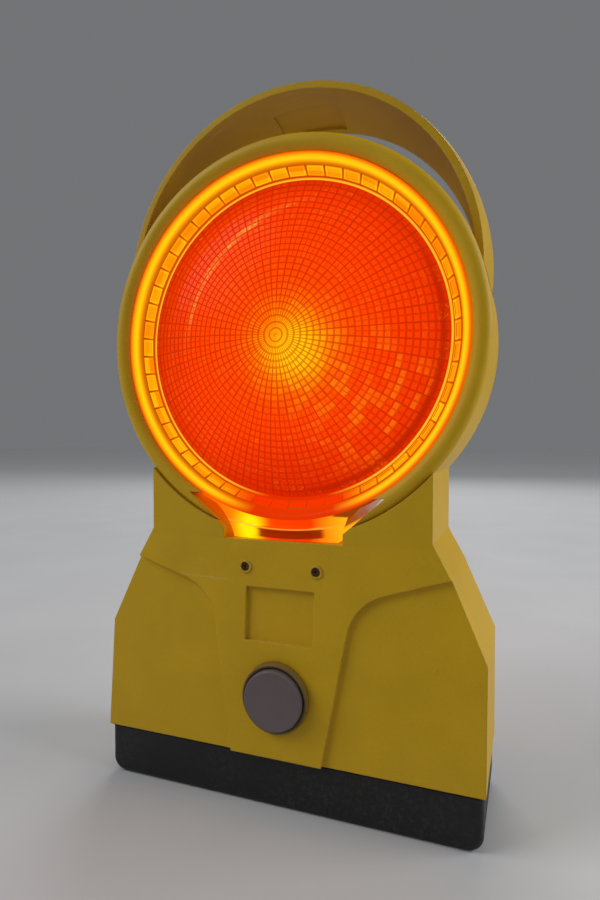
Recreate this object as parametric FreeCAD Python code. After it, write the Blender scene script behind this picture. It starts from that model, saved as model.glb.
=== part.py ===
import FreeCAD, Part
import math
import os

# A battery warning lamp for a road barricade: a round two-sided amber lens in a
# yellow plastic case, with a carry strap on top and a black battery cover below.
# Millimetres. The origin is on the ground, under the lens centre at mid-depth.
# +X is the lamp's width, -Y is the side with the button, +Z is up.

V = FreeCAD.Vector

# ---- driving dimensions
lens_radius = 90.0          # clear opening of each round lens
chin_height = 129.7         # foot of the lens neck above the ground
neck_drop = 10.3            # from there up to the lens opening
bezel_width = 8.4           # ring of case around the opening
body_depth = 60.0           # case, from its front face to its back face
body_width = 195.8          # case at the shoulders
neck_width = 147.2          # case where it meets the ring
base_height = 25.4          # black cover, from the ground to the case
shoulder_height = 81.4      # where the flare ends and the sides go straight down
panel_lean = 8.5            # how far the lower front comes forward at the bottom
cheek_step = 2.2            # the two front cheeks lie this far behind the panel
wall = 2.5                  # case wall
cell_radius = 17.0          # D size battery
cell_length = 60.0
strap_width = 45.0          # carry strap
strap_thick = 3.5

# ---- fits and clearances
slip = 0.05                 # a part that turns or slides in its hole
gap = 0.3                   # faces that must never touch
air = 0.5                   # loose room round a lid
loose = 0.1                 # a screw or head in its hole
lap = 1.0                   # joined pieces and cutters run past a face by this much
touch = 0.01                # places closer than this are the same

# ---- places that follow from the driving dimensions
front = -body_depth / 2
back = body_depth / 2
lens_height = chin_height + neck_drop + lens_radius
ring_radius = lens_radius + bezel_width
rear_cover_depth = 4.0
seam = back - rear_cover_depth
half_body = body_width / 2
half_neck = neck_width / 2
far_front = front * 2       # clear of everything in front
far_back = back * 2

# Flare between neck and shoulder: two facets, the upper one less steep.
neck_foot = chin_height + 3.1
flare_share = 0.7
flare_out = 8.4
flare_height = shoulder_height + flare_share * (neck_foot - shoulder_height)

# Cheeks: recessed faces beside the centre panel, with one round corner each.
cheek_foot_x = 23.6
cheek_turn_x = 37.2
cheek_turn_up = 77.8        # the bend above the foot of the case
cheek_side_rise = 0.315     # slope of the edge that runs out to the side
cheek_corner = 17.0         # start of the round corner before the bend

# Notch in the front and back faces, where the lens neck shows.
notch_half = 31.6
notch_foot = chin_height
notch_side = notch_foot + 5.4
notch_shoulder_half = 51.5
notch_shoulder = notch_foot + 22.8
notch_lip = 2.0             # thickness of the wall that lines the notch
notch_lip_depth = 14.0      # its floor, under the lens neck
notch_wall_end = 0.5         # its sides run almost to the middle of the case

# Seal cord between the two halves of the case.
cord_edge = 0.75
cord_wide = 1.0
cord_deep = 1.2

# Rear cover: rounded rim, upright ribs, blank label recess.
rear_round = 2.5
rib_half = 1.2
rib_proud = 1.0
rib_x = (36.0, 48.0)
rib_foot = base_height + 12.0
rib_top = neck_foot - 34.0
rear_label_half = 27.0
rear_label_deep = 1.0

# Bezel section: a rounded bead round each lens opening.
bezel_edge = 2.7            # crown of the bead stands this far above its two edges
lip_thick = 3.3             # bead crown to the seat behind it

# Lens: rim, steep band of blocks, groove, then a shallow dome.
rim_clear = 0.3
rim_radius = lens_radius - rim_clear
flange_radius = lens_radius + 1.4
flange_thick = 2.5
lens_seal_thick = 1.2
band_outer = lens_radius - 4.6
band_inner = lens_radius - 8.3
dome_edge = lens_radius - 10.5
dome_rise = 6.0             # dome apex in front of the case
band_depth = 13.0           # foot of the band behind the case front
band_top_deep = 8.0         # its top
lens_wall = 2.5
rim_sunk = 0.1              # crown of the rim behind the bezel's edge
rim_round_in = 2.3          # middle of the rim's round, inwards and back
rim_round_back = 1.1
groove_wide = 1.0           # groove between the dome and the band
groove_deep = 0.5
bore_in = 2.0               # inner face of the rim's tube
band_back = 1.5             # thickness under the band
groove_back = 3.2
lens_tube_deep = 4.5        # clear bore behind the band

# Lens neck and the two screws that hold it.
neck_half = 28.0
neck_bulge = 3.3
neck_front = 5.0            # sides of the neck behind the case front
neck_wall = 2.4
neck_slope = 0.4            # inner sides start this share of the wall further back
neck_low = 8.0              # end of the neck below the notch's foot
neck_top = 7.0              # top of its straight part above it
neck_straight = 0.5         # where its sides start to flare
flare_middle = (5.2, 11.0)  # flare's middle point, outwards and up
flare_end = 16.5            # its end, outwards
flare_lap = (1.0, 3.0)      # its end runs into the round lens
ledge_up = 5.0              # ledge across the neck
ledge_out = 1.2
ledge_thick = 1.8
mast_way = 5.0              # room behind the neck for the mast's lug
tab_half = 24.5
tab_thick = 2.2
tab_drop = 20.0
tab_top = 3.0
tab_front = back - wall - gap
lens_screw_x = 18.7
lens_screw_z = notch_foot - 13.4
screw_ring_radius = 3.2
screw_ring_proud = 0.8
small_screw = 1.5           # shank radius
small_head = 2.3
head_thick = 1.4
head_sunk = 0.6             # front lens screws below their raised rings
rear_head_sunk = 0.4
cross_half = 1.4            # cross recess in the heads
cross_arm = 0.35
cross_deep = 0.7
boss_wall = 1.6             # bosses in the rear cover for the same screws

# Label pocket in the front panel.
label_half = 18.0
label_top = lens_screw_z - 9.8
label_height = 26.3
label_depth = 2.0
label_back = 4.0
pad_edge = 3.0              # thicker wall round the pocket
pad_top = 2.0

# Button in the front panel.
button_z = base_height + 29.3
button_radius = 14.7
button_front = front - 12.0
button_travel = 2.5
button_thick = 4.5
stem_radius = 5.0
collar_wall = 1.8
collar_front = front - 9.2
collar_flange = 1.7
collar_floor = 1.5
collar_lip = 0.9            # wider mouth of the collar
collar_lip_deep = 1.0
flange_top = button_z + button_radius + gap + collar_wall + collar_flange
panel_slope = panel_lean / (notch_foot - base_height)
collar_back = front - panel_slope * (notch_foot - flange_top) + wall + gap + collar_floor
cap_round = 0.8
cap_floor = 1.5             # spring's pocket in the back of the cap
spring_out = 1.9            # spring's middle radius outside the stem
spring_wire = 0.4
spring_turns = 4
spring_room = 3.4
spring_end = 0.05           # spring's ends clear of its seats
button_seal_wall = 3.0
button_seal_thick = 1.5

# Housing screws.
post_radius = 3.5
body_screw = 1.6
body_head = 3.2
ring_post_radius = 2.3
ring_screw = 1.0
ring_head = 2.1
ring_post_at = ring_radius - 4.6
ring_angles = (90.0, 35.0, 145.0, -12.0, 192.0)
ring_post_deep = 8.0        # front ends of the ring's posts behind the case front
post_sunk = 0.5             # posts run into the side wall by this much
post_step = 8.0             # upper and middle posts from the flare's ends
low_post_up = 14.0          # lowest posts above the foot of the case
slot_half = 0.4             # driver slot
slot_deep = 0.7
head_below = 0.2            # heads lie this far below the cover's face
body_screw_long = 14.0
ring_screw_long = 10.0
pilot_spare = 4.0           # a screw's hole goes on past its end

# Black battery cover under the case.
base_inset = 1.0
base_wall = 2.5
base_floor = 3.0
base_round = 7.0
base_edge_round = 2.5
rim_thick = 2.6             # bottom frame of the case
tongue_wall = 2.0
tongue_drop = 5.4
seal_thick = 1.0
half_base = half_body - base_inset
base_front = front - panel_lean + cheek_step + base_inset
base_back = back - base_inset
base_top = base_height - seal_thick - slip

# Hinge at the back of the cover.
hinge_y = back + 3.2
hinge_z = base_height
pin_radius = 2.0
knuckle_radius = 4.0
knuckle_middle = 13.4
knuckle_end = 8.0
knuckle_air = 0.3
relief_air = 0.45           # round the cover's knuckle as it turns
pin_proud = 0.8             # pin ends past the outer knuckles
hinge_x = half_base - 32.0

# Key lock in the bottom of the cover.
lock_y = front + 6.0
lock_radius = 6.0
lock_head = 8.0
lock_boss = 9.5
lock_boss_top = 18.5
lock_neck = 3.0
finger_long = 13.4
finger_bore = 2.0
finger_wide = 5.0
finger_thick = 3.0
catch_half = 12.0
catch_reach = 8.0           # plate behind the lock's axis
catch_slot_long = 14.4
catch_slot_wide = 7.2
key_side = 8.0
key_depth = 8.0
finger_air = 0.6            # finger above the case's bottom frame
lock_end = 0.1              # barrel's end below the boss, clip above it
clip_wide = 1.6
clip_thick = 1.0
lock_screw_head = 2.4
lock_screw_thick = 1.6

# Mounting socket in the middle of the cover.
socket_radius = 6.5
socket_wall = 1.5
socket_depth = 17.0
socket_floor = 1.0
socket_boss = 10.5

# Batteries and their tray.
cell_x = (30.0, 66.0)
cell_foot = 12.0
cell_round = 1.0
nub_radius = 4.75
nub_height = 1.5
plate_thick = 0.6
tray_thick = 3.0
tray_air = 0.4              # tray behind the control board
tray_guide_z = 46.0
cell_air = 0.5
tray_half = half_body - wall - 7.0
contact_half = 7.0
bridge_half = 8.0
contact_coil = 5.5          # middle radius of the springs under the cells
contact_wire = 0.5
contact_turns = 3
bridge_screw_foot = 1.2
tray_post_in = 10.0         # tray screws inwards from the outer cells
tray_post_up = 5.0          # and above the tray
column_half = 6.0
column_edge = 4.0           # columns back from the tray's front and back edges
tray_end = 3.0              # end walls and lugs
lug_half = 6.0
tray_z = cell_foot + cell_length + nub_height + plate_thick

# Electronics.
board_half = 45.0
board_thick = 1.6
board_y = collar_back + 8.3 # front face of the control board
switch_half = 6.0
switch_thick = 4.3
plunger_long = 0.9
plunger_radius = 1.75
mast_end = 5.0
sensor_radius = 2.5
sensor_long = 4.0
sensor_drop = 12.0
board_foot = 36.0
board_top = 98.0
board_margin = 5.0
mast_half = 8.0
mast_thick = 5.0
mast_foot = 102.0
mast_lug_top = 116.0
mast_lug_x = 34.0
mast_head = 20.0
led_board_radius = 17.0
led_radius = 2.5
led_ring = 10.0
leds_in_ring = 6
led_height = 3.0
lead_radius = 0.8

tray_half_depth = -(board_y + board_thick + tray_air)

# Screws inside the case: pan heads on shanks of the small size.
pan_head = 2.8
pan_thick = 1.8
mast_post_radius = 4.0
mast_screw_long = 10.0
small_screw_long = 6.0
small_pilot_spare = 2.0

# Carry strap: half an ellipse seen from the front, barrel shaped across.
strap_centre_z = lens_height + 30.5
strap_half = ring_radius - 4.4
strap_rise = ring_radius - 2.1
strap_crown = 3.0
strap_back_draw = 1.5
strap_front = front + 10.5
strap_back = strap_front + strap_width
strap_foot = lens_height + 16.0
foot_half_depth = 12.0
foot_in = ring_radius - 10.0
foot_out = ring_radius - 3.4
foot_tall = 18.0
foot_socket_wall = 2.5
clamp_thick = 1.2
handle_head = 2.6           # screw heads inside the ring
handle_head_thick = 1.2
handle_head_up = 5.0        # screw centres above the strap's feet
spacer_outer = lens_radius - 0.7
spacer_wall = 1.2
neck_way_share = 0.75       # seals and spacer stop this far down, for the lens neck
head_edge = foot_in - clamp_thick - handle_head_thick
head_rise = math.sqrt(spacer_outer ** 2 - head_edge ** 2) + handle_head + gap + slip
foot_low = lens_height + head_rise - handle_head_up
foot_high = foot_low + foot_tall
grip_half = 18.0
grip_depth = 1.2
grip_end = 3.0
handle_pilot_end = 2.0      # screw holes stop short of the feet's outer faces
handle_screw_end = 2.5
clamp_edge = 0.5            # plates inside the foot sockets' outline
clamp_low = 1.0
clamp_over = 6.0


# ---- small helpers

def box(x0, x1, y0, y1, z0, z1):
    return Part.makeBox(x1 - x0, y1 - y0, z1 - z0, V(x0, y0, z0))


def rod(radius, x, y, z, direction, length):
    return Part.makeCylinder(radius, length, V(x, y, z), V(*direction))


def along_y(radius, x, z, y0, y1):
    return rod(radius, x, y0, z, (0, 1, 0), y1 - y0)


def along_x(radius, y, z, x0, x1):
    return rod(radius, x0, y, z, (1, 0, 0), x1 - x0)


def upright(radius, x, y, z0, z1):
    return rod(radius, x, y, z0, (0, 0, 1), z1 - z0)


def polygon(points):
    corners = [V(*point) for point in points]
    return Part.Face(Part.makePolygon(corners + [corners[0]]))


def mirrored(shape):
    return shape.mirror(V(0, 0, 0), V(1, 0, 0))


def turned_round(shape):
    """The same piece on the other side of the lamp."""
    copy = shape.copy()
    copy.rotate(V(0, 0, 0), V(0, 0, 1), 180)
    return copy


def joined(shapes):
    shapes = list(shapes)
    return shapes[0].multiFuse(shapes[1:]).removeSplitter() if len(shapes) > 1 else shapes[0]


def group(shapes):
    return Part.makeCompound(list(shapes))


def both_sides(x):
    return (-x, x)


def spun(edges):
    """Solid of revolution about the lens axis, from edges drawn as (radius, y)."""
    face = Part.Face(Part.Wire(edges))
    solid = face.revolve(V(0, 0, 0), V(0, 1, 0), 360)
    solid.translate(V(0, 0, lens_height))
    return solid


def lines(points):
    ends = [V(r, y, 0) for r, y in points]
    return [Part.makeLine(a, b) for a, b in zip(ends, ends[1:])]


def arc(first, middle, last):
    a, b, c = [V(r, y, 0) for r, y in (first, middle, last)]
    return Part.Arc(a, b, c).toShape()


def lens_axis_rod(radius, y0, y1):
    return along_y(radius, 0, lens_height, y0, y1)


# ---- case outlines

def body_face(inset, foot=base_height):
    """Neck, flare and lower body seen from the front, drawn in the plane y = 0."""
    right = [(half_neck, 0, lens_height - lens_radius / 2), (half_neck, 0, neck_foot),
             (half_neck + flare_out, 0, flare_height), (half_body, 0, shoulder_height),
             (half_body, 0, foot)]
    left = [(-x, y, z) for x, y, z in reversed(right)]
    face = polygon(right + left)
    if inset:
        face = face.makeOffset2D(-inset, 2)
    return face


def body_slab(inset, y0, y1, foot=base_height):
    slab = body_face(inset, foot).extrude(V(0, y1 - y0, 0))
    slab.translate(V(0, y0, 0))
    return slab


def panel_y(z):
    """Front of the centre panel: upright above the notch's foot, leaning below it."""
    return front - panel_slope * max(0.0, notch_foot - z)


def behind_panel(shift, y1=back):
    """Everything behind the panel's surface moved back by shift."""
    high = lens_height
    low = -base_height
    side = [(0, panel_y(high) + shift, high), (0, panel_y(notch_foot) + shift, notch_foot),
            (0, panel_y(low) + shift, low), (0, y1, low), (0, y1, high)]
    slab = polygon(side).extrude(V(body_width * 2, 0, 0))
    slab.translate(V(-body_width, 0, 0))
    return slab


def cheek_face(grow):
    """Right cheek: a leaning inner edge that bends out to the side in a round corner."""
    foot = V(cheek_foot_x, 0, base_height)
    turn = V(cheek_turn_x, 0, base_height + cheek_turn_up)
    outer = V(body_width, 0, turn.z + cheek_side_rise * (body_width - turn.x))
    start = turn + (foot - turn).normalize() * cheek_corner
    end = turn + (outer - turn).normalize() * cheek_corner
    middle = (start + end) / 4 + turn / 2
    low = foot - (turn - foot) * (base_height / cheek_turn_up)
    corner = V(outer.x, 0, 0)
    edges = [Part.makeLine(low, start), Part.Arc(start, middle, end).toShape(),
             Part.makeLine(end, outer), Part.makeLine(outer, corner),
             Part.makeLine(corner, low)]
    face = Part.Face(Part.Wire(edges))
    if grow:
        face = face.makeOffset2D(grow, 2)
    return face


def cheek_room(grow, shift):
    """What the two cheeks take off the panel's surface."""
    slab = cheek_face(grow).extrude(V(0, body_depth - far_front, 0))
    slab.translate(V(0, far_front, 0))
    slab = slab.cut(behind_panel(cheek_step + shift, body_depth))
    return slab.fuse(mirrored(slab))


def notch_face(grow):
    inner = lens_radius / 2
    right = [(notch_half + grow, 0, notch_foot - grow), (notch_half + grow, 0, notch_side),
             (notch_shoulder_half + grow, 0, notch_shoulder),
             (inner, 0, lens_height - math.sqrt(lens_radius ** 2 - inner ** 2) + grow * 2)]
    left = [(-x, y, z) for x, y, z in reversed(right)]
    return polygon(right + left)


def neck_passage(y0, y1):
    """Room through the notch's floor for the lens neck on its way down to its screws."""
    half = neck_half + 2 * gap
    return box(-half, half, y0, y1, notch_foot - 2 * notch_lip, notch_foot + notch_lip)


def notch_slab(grow, y0, y1):
    slab = notch_face(grow).extrude(V(0, y1 - y0, 0))
    slab.translate(V(0, y0, 0))
    return slab


# ---- case

def bead_drum(y_seam):
    """Full disc whose face at the front carries the rounded bezel bead."""
    crown = lens_radius + bezel_width / 2
    edge = front + bezel_edge
    outline = lines([(0, edge), (lens_radius, edge)])
    outline.append(arc((lens_radius, edge), (crown, front), (ring_radius, edge)))
    outline += lines([(ring_radius, edge), (ring_radius, y_seam), (0, y_seam), (0, edge)])
    return spun(outline)


def ring_posts(y0, y1, radius):
    posts = []
    for angle in ring_angles:
        turn = math.radians(angle)
        x = ring_post_at * math.cos(turn)
        z = lens_height + ring_post_at * math.sin(turn)
        posts.append(along_y(radius, x, z, y0, y1))
    return posts


def body_post_places():
    inset = wall + post_radius - post_sunk
    right = [(half_neck - inset, neck_foot + post_step),
             (half_body - inset, shoulder_height - post_step),
             (half_body - inset, base_height + low_post_up)]
    return right + [(-x, z) for x, z in right]


def board_post_places():
    x = board_half - board_margin
    return [(side, z) for side in both_sides(x)
            for z in (board_foot + board_margin, board_top - board_margin)]


tray_post_x = cell_x[1] - tray_post_in
tray_post_z = tray_z + tray_thick + tray_post_up
mast_screw_z = (mast_foot + mast_lug_top) / 2
seat = front + lip_thick    # back of the lip that the lens seal presses on


def case_hollow():
    """The room inside the front case."""
    neck = body_slab(wall, far_front, seam, 0).common(behind_panel(wall))
    neck = neck.cut(box(-body_width, body_width, far_front, back, 0, base_height + rim_thick))
    neck = neck.cut(cheek_room(wall, wall))
    neck = neck.cut(lens_axis_rod(ring_radius, far_front, seat))
    return neck.fuse([lens_axis_rod(ring_radius - wall, seat, seam),
                      lens_axis_rod(lens_radius, far_front, seat)])


def posts_inside(outer):
    """Screw posts that grow from the front wall, cut to the case's outside."""
    mast = [along_y(mast_post_radius, x, mast_screw_z, far_front, -mast_thick / 2)
            for x in both_sides(mast_lug_x)]
    board = [along_y(post_radius, x, z, far_front, board_y) for x, z in board_post_places()]
    tray = [along_y(post_radius, x, tray_post_z, far_front, -tray_half_depth)
            for x in both_sides(tray_post_x)]
    cover = [along_y(post_radius, x, z, far_front, back - wall)
             for x, z in body_post_places()]
    lens = [along_y(screw_ring_radius, x, lens_screw_z, far_front, -tab_front)
            for x in both_sides(lens_screw_x)]
    ring = ring_posts(front + ring_post_deep, back - lip_thick, ring_post_radius)
    reach = outer.fuse(body_slab(wall, seam - lap, back - wall))
    sockets = foot_blocks(foot_socket_wall, foot_in, foot_out)
    return [joined(mast + board + tray + cover + lens + sockets).common(reach)] + ring


def front_pilots():
    short = small_screw_long + small_pilot_spare
    holes = [along_y(small_screw, x, mast_screw_z,
                     -mast_thick / 2 - mast_screw_long - pilot_spare, 0)
             for x in both_sides(mast_lug_x)]
    holes += [along_y(small_screw, x, z, board_y - short, board_y) for x, z in board_post_places()]
    holes += [along_y(small_screw, x, tray_post_z, -tray_half_depth - short, -tray_half_depth)
              for x in both_sides(tray_post_x)]
    holes += [along_y(body_screw, x, z, seam - body_screw_long - pilot_spare, back)
              for x, z in body_post_places()]
    holes += ring_posts(seam - ring_screw_long - pilot_spare, back, ring_screw)
    return holes


def lens_screw_holes():
    """Counterbored holes with a raised ring round each, in the front panel."""
    holes = []
    for x in both_sides(lens_screw_x):
        face = panel_y(lens_screw_z) - screw_ring_proud
        holes.append(along_y(small_head, x, lens_screw_z, face - lap,
                             face + head_thick + head_sunk))
        holes.append(along_y(small_screw + slip, x, lens_screw_z, face, -tab_front))
    return holes


def tongue_block(out):
    return box(-(half_base - base_wall - out), half_base - base_wall - out,
               base_front + base_wall + out, base_back - base_wall - out,
               base_height - tongue_drop, base_height + rim_thick)


def cover_seal_shape():
    """Flat rubber cord in a groove round the seam."""
    inner = cord_edge + cord_wide
    y0 = seam - cord_deep
    ring = lens_axis_rod(ring_radius - cord_edge, y0, seam).fuse(body_slab(cord_edge, y0, seam))
    hole = lens_axis_rod(ring_radius - inner, y0, seam)
    return ring.cut(hole.fuse(body_slab(inner, y0, seam)))


def key_catch():
    """Plate with a slot that the lock's finger passes, on the case's bottom frame."""
    inner = base_front + base_wall + air
    plate = box(-catch_half, catch_half, inner, lock_y + catch_reach, base_height,
                base_height + rim_thick)
    slot = box(-catch_slot_long / 2, catch_slot_long / 2, lock_y - catch_slot_wide / 2,
               lock_y + catch_slot_wide / 2, base_height - lap, base_height + rim_thick + lap)
    return plate.cut(slot)


def front_housing():
    body = body_slab(0, far_front, seam).common(behind_panel(0))
    body = body.cut(lens_axis_rod(ring_radius, far_front, back))
    outer = bead_drum(seam).fuse(body).cut(cheek_room(0, 0))
    shell = outer.cut(case_hollow())
    pad = box(-label_half - pad_edge, label_half + pad_edge, far_front, 0,
              label_top - label_height - pad_edge, label_top + pad_top)
    pad = pad.common(behind_panel(0)).cut(behind_panel(label_back))
    lining = notch_slab(notch_lip, front, -notch_wall_end).common(outer)
    lining = lining.cut(neck_passage(front + notch_lip_depth, 0))
    ring_clear = lens_axis_rod(flange_radius + 2 * gap, far_front, back)
    tongue = tongue_block(air).cut(tongue_block(air + tongue_wall))
    shell = joined([shell, pad, lining.cut(ring_clear), tongue, key_catch()] + posts_inside(outer))
    raised = [along_y(screw_ring_radius, x, lens_screw_z,
                      panel_y(lens_screw_z) - screw_ring_proud, front + lap)
              for x in both_sides(lens_screw_x)]
    shell = joined([shell] + raised)
    opening = tongue_block(air + tongue_wall).cut(key_catch().fuse(
        box(-catch_half, catch_half, far_front, lock_y + catch_reach, 0, base_height)))
    label = box(-label_half, label_half, far_front, 0, label_top - label_height, label_top)
    label = label.cut(behind_panel(label_depth))
    button_hole = along_y(button_radius + gap + collar_wall + slip, 0, button_z, far_front,
                          collar_back + lap)
    cuts = [opening, label, button_hole, notch_slab(0, far_front, 0),
            cover_seal_shape()] + front_pilots() + lens_screw_holes() + foot_tongues()
    return shell.cut(cuts)


def hinge_barrel(radius, x0, x1):
    return along_x(radius, hinge_y, hinge_z, x0, x1)


def knuckle_spans(side):
    """Left end, base middle and right end of one hinge."""
    centre = side * hinge_x
    half = knuckle_middle / 2
    outer = half + knuckle_air
    ends = [(centre - outer - knuckle_end, centre - outer),
            (centre + outer, centre + outer + knuckle_end)]
    return ends, (centre - half, centre + half)


def rear_lip():
    """The back lens opening has the same rounded bead as the front one."""
    return turned_round(bead_drum(-seam))


def rear_cover():
    plate = body_slab(0, seam, back)
    rims = [edge for edge in plate.Edges
            if abs(edge.CenterOfMass.y - back) < touch
            and base_height + lap < edge.CenterOfMass.z < lens_height - lens_radius / 2 - lap]
    plate = plate.makeFillet(rear_round, rims).cut(lens_axis_rod(ring_radius, 0, far_back))
    pocket = body_slab(wall, seam, back - wall)
    pocket = pocket.cut(lens_axis_rod(ring_radius, -back, back))
    pocket = pocket.fuse(lens_axis_rod(ring_radius - wall, seam, back - lip_thick))
    lining = notch_slab(notch_lip, notch_wall_end, back)
    lining = lining.cut(neck_passage(0, back - notch_lip_depth))
    lining = lining.cut(lens_axis_rod(flange_radius + 2 * gap, -back, far_back))
    cover = rear_lip().fuse(plate).cut(pocket)
    ribs = [box(x - rib_half, x + rib_half, back - wall, back + rib_proud, rib_foot, rib_top)
            for place in rib_x for x in both_sides(place)]
    bosses = [along_y(small_head + boss_wall, x, lens_screw_z, tab_front, back)
              for x in both_sides(lens_screw_x)]
    knuckles = []
    for side in (-1, 1):
        for x0, x1 in knuckle_spans(side)[0]:
            web = box(x0, x1, back - lap, hinge_y, hinge_z, hinge_z + knuckle_radius)
            knuckles += [hinge_barrel(knuckle_radius, x0, x1), web]
    cover = joined([cover, lining] + ribs + bosses + knuckles)
    relief = []
    for side in (-1, 1):
        x0, x1 = knuckle_spans(side)[1]
        relief.append(hinge_barrel(knuckle_radius + relief_air, x0 - knuckle_air,
                                   x1 + knuckle_air))
    cuts = relief + [notch_slab(0, 0, far_back)]
    cuts.append(lens_axis_rod(lens_radius, 0, far_back))
    cuts.append(hinge_barrel(pin_radius, -half_body, half_body))
    for x in both_sides(lens_screw_x):
        cuts.append(along_y(small_head, x, lens_screw_z, back - head_thick - rear_head_sunk,
                            back + lap))
        cuts.append(along_y(small_screw + slip, x, lens_screw_z, tab_front - lap, back))
    for x, z in body_post_places():
        cuts.append(along_y(body_screw + loose, x, z, seam, back))
        cuts.append(along_y(body_head + 2 * loose, x, z, back - head_thick, back + lap))
    cuts += ring_posts(seam, back, ring_screw + loose)
    cuts += ring_posts(seam, back - lip_thick, ring_post_radius + slip)
    cuts += ring_posts(back - head_thick, back + lap, ring_head + loose)
    label = box(-rear_label_half, rear_label_half, back - rear_label_deep, back + lap,
                label_top - label_height, label_top)
    cuts.append(label)
    return cover.cut(cuts)


def housing_screws():
    """Pan heads sunk in the rear cover, shanks in the case's posts."""
    screws = []
    for x, z in body_post_places():
        head = along_y(body_head, x, z, back - head_thick, back - head_below)
        slot = box(x - body_head, x + body_head, back - head_below - slot_deep, back,
                   z - slot_half, z + slot_half)
        shank = along_y(body_screw, x, z, back - head_thick - body_screw_long, back - head_thick)
        screws.append(head.fuse(shank).cut(slot))
    under = back - head_thick
    for head, shank in zip(ring_posts(under, back - head_below, ring_head),
                           ring_posts(under - ring_screw_long, under, ring_screw)):
        screws.append(head.fuse(shank))
    return group(screws)


# ---- lens heads

def dome_arc(sphere, middle, r0, r1):
    """Arc of a ball centred on the lens axis, from radius r0 to radius r1."""
    points = [(r, middle - math.sqrt(sphere ** 2 - r ** 2)) for r in (r0, (r0 + r1) / 2, r1)]
    return points[0], arc(*points), points[2]


def lens_side():
    """Outline of the lens's section as (radius, y), front surface then back surface."""
    apex = front - dome_rise
    foot = front + band_depth
    rim_face = front + bezel_edge - rim_sunk
    band_top = front + band_top_deep
    tube = lens_radius - bore_in
    sag = foot - apex
    ball = (dome_edge ** 2 + sag ** 2) / (2 * sag)
    middle = apex + ball
    top, near_dome, near_edge = dome_arc(ball, middle, 0.0, dome_edge)
    far_edge, far_dome, under = dome_arc(ball - lens_wall, middle, dome_edge - groove_wide, 0.0)
    flange_front = seat + lens_seal_thick
    flange_back = flange_front + flange_thick
    edges = [near_dome]
    edges += lines([near_edge, (dome_edge + groove_wide, foot + groove_deep), (band_inner, foot)])
    edges += lines([(band_inner, foot), (band_outer, band_top)])
    edges.append(arc((band_outer, band_top),
                     (rim_radius - rim_round_in, rim_face + rim_round_back),
                     (rim_radius, rim_face)))
    edges += lines([(rim_radius, rim_face), (rim_radius, flange_front),
                    (flange_radius, flange_front), (flange_radius, flange_back),
                    (tube, flange_back), (tube, band_top + lap),
                    (band_outer, foot + band_back), (band_inner, foot + groove_back), far_edge])
    edges.append(far_dome)
    edges += lines([under, top])
    return edges


def neck_face(inset, z):
    """Section of the lens neck: straight sides and a slightly bulging front."""
    half = neck_half - inset
    side = front + neck_front + inset * neck_slope
    crown = front + neck_front - neck_bulge + inset
    a, b = V(-half, side, z), V(half, side, z)
    edges = [Part.Arc(a, V(0, crown, z), b).toShape(), Part.makeLine(b, V(half, 0, z)),
             Part.makeLine(V(half, 0, z), V(-half, 0, z)), Part.makeLine(V(-half, 0, z), a)]
    return Part.Face(Part.Wire(edges))


def skirt_face(inset):
    """Front view of the neck, flaring up into the round lens."""
    low = notch_foot - neck_low
    straight = notch_foot + neck_straight
    flare_top = lens_height - math.sqrt(lens_radius ** 2 - (lens_radius / 2) ** 2)
    a = V(neck_half - inset, 0, low)
    b = V(neck_half - inset, 0, straight)
    c = V(b.x + flare_middle[0], 0, straight + flare_middle[1])
    d = V(b.x + flare_end, 0, flare_top - flare_lap[0])
    e = V(d.x, 0, flare_top + flare_lap[1])
    right = [Part.makeLine(a, b), Part.Arc(b, c, d).toShape(), Part.makeLine(d, e)]
    left = [mirrored(edge) for edge in right]
    ends = [Part.makeLine(V(-a.x, 0, a.z), a), Part.makeLine(e, V(-e.x, 0, e.z))]
    return Part.Face(Part.Wire(Part.__sortEdges__(right + left + ends)))


def lens_neck():
    low = notch_foot - neck_low
    top = notch_foot + neck_top
    skirt = skirt_face(0).extrude(V(0, -(front + neck_front), 0))
    skirt.translate(V(0, front + neck_front, 0))
    hollow = skirt_face(neck_wall).extrude(V(0, -front, 0))
    hollow.translate(V(0, front + neck_front + neck_wall, 0))
    tube = neck_face(0, low).extrude(V(0, 0, top - low))
    bore = neck_face(neck_wall, low - lap).extrude(V(0, 0, top - low + lap - neck_wall))
    ledge = neck_face(-ledge_out, notch_foot + ledge_up).extrude(V(0, 0, ledge_thick))
    ledge = ledge.cut(neck_face(neck_wall, notch_foot).extrude(V(0, 0, lens_radius)))
    ledge = ledge.cut(skirt)
    neck = joined([skirt.cut(hollow), tube.cut(bore), ledge]).cut(bore)
    neck = neck.cut(lens_axis_rod(lens_radius - bore_in, far_front, back))
    wide = notch_shoulder_half
    panel_room = box(-wide, wide, far_front, -tab_front, low - lap, notch_foot + gap)
    floor_room = box(-wide, wide, far_front, front + notch_lip_depth + gap,
                     notch_foot - notch_lip - gap, notch_foot + gap)
    mast_room = box(-mast_half - gap, mast_half + gap, -mast_thick / 2 - mast_way, lap,
                    notch_foot, top + lap)
    return neck.cut([panel_room, floor_room, mast_room])


def lens_tab():
    """Tab behind the front panel that the two screws hold."""
    tab = box(-tab_half, tab_half, -tab_front, -tab_front + tab_thick,
              notch_foot - tab_drop, notch_foot - tab_top)
    for x in both_sides(lens_screw_x):
        tab = tab.cut(along_y(small_screw, x, lens_screw_z, front, 0))
    return tab


def lens():
    disc = spun(lens_side())
    neck = lens_neck()
    collar = neck.cut(lens_axis_rod(rim_radius, far_front, seat + lens_seal_thick))
    shell = joined([disc, collar, lens_tab()])
    notches = ring_posts(front, 0, ring_post_radius + gap)
    clear_room = lens_axis_rod(lens_radius - bore_in, front + band_depth + lens_tube_deep, 0)
    return shell.cut(notches + [clear_room])


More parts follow.
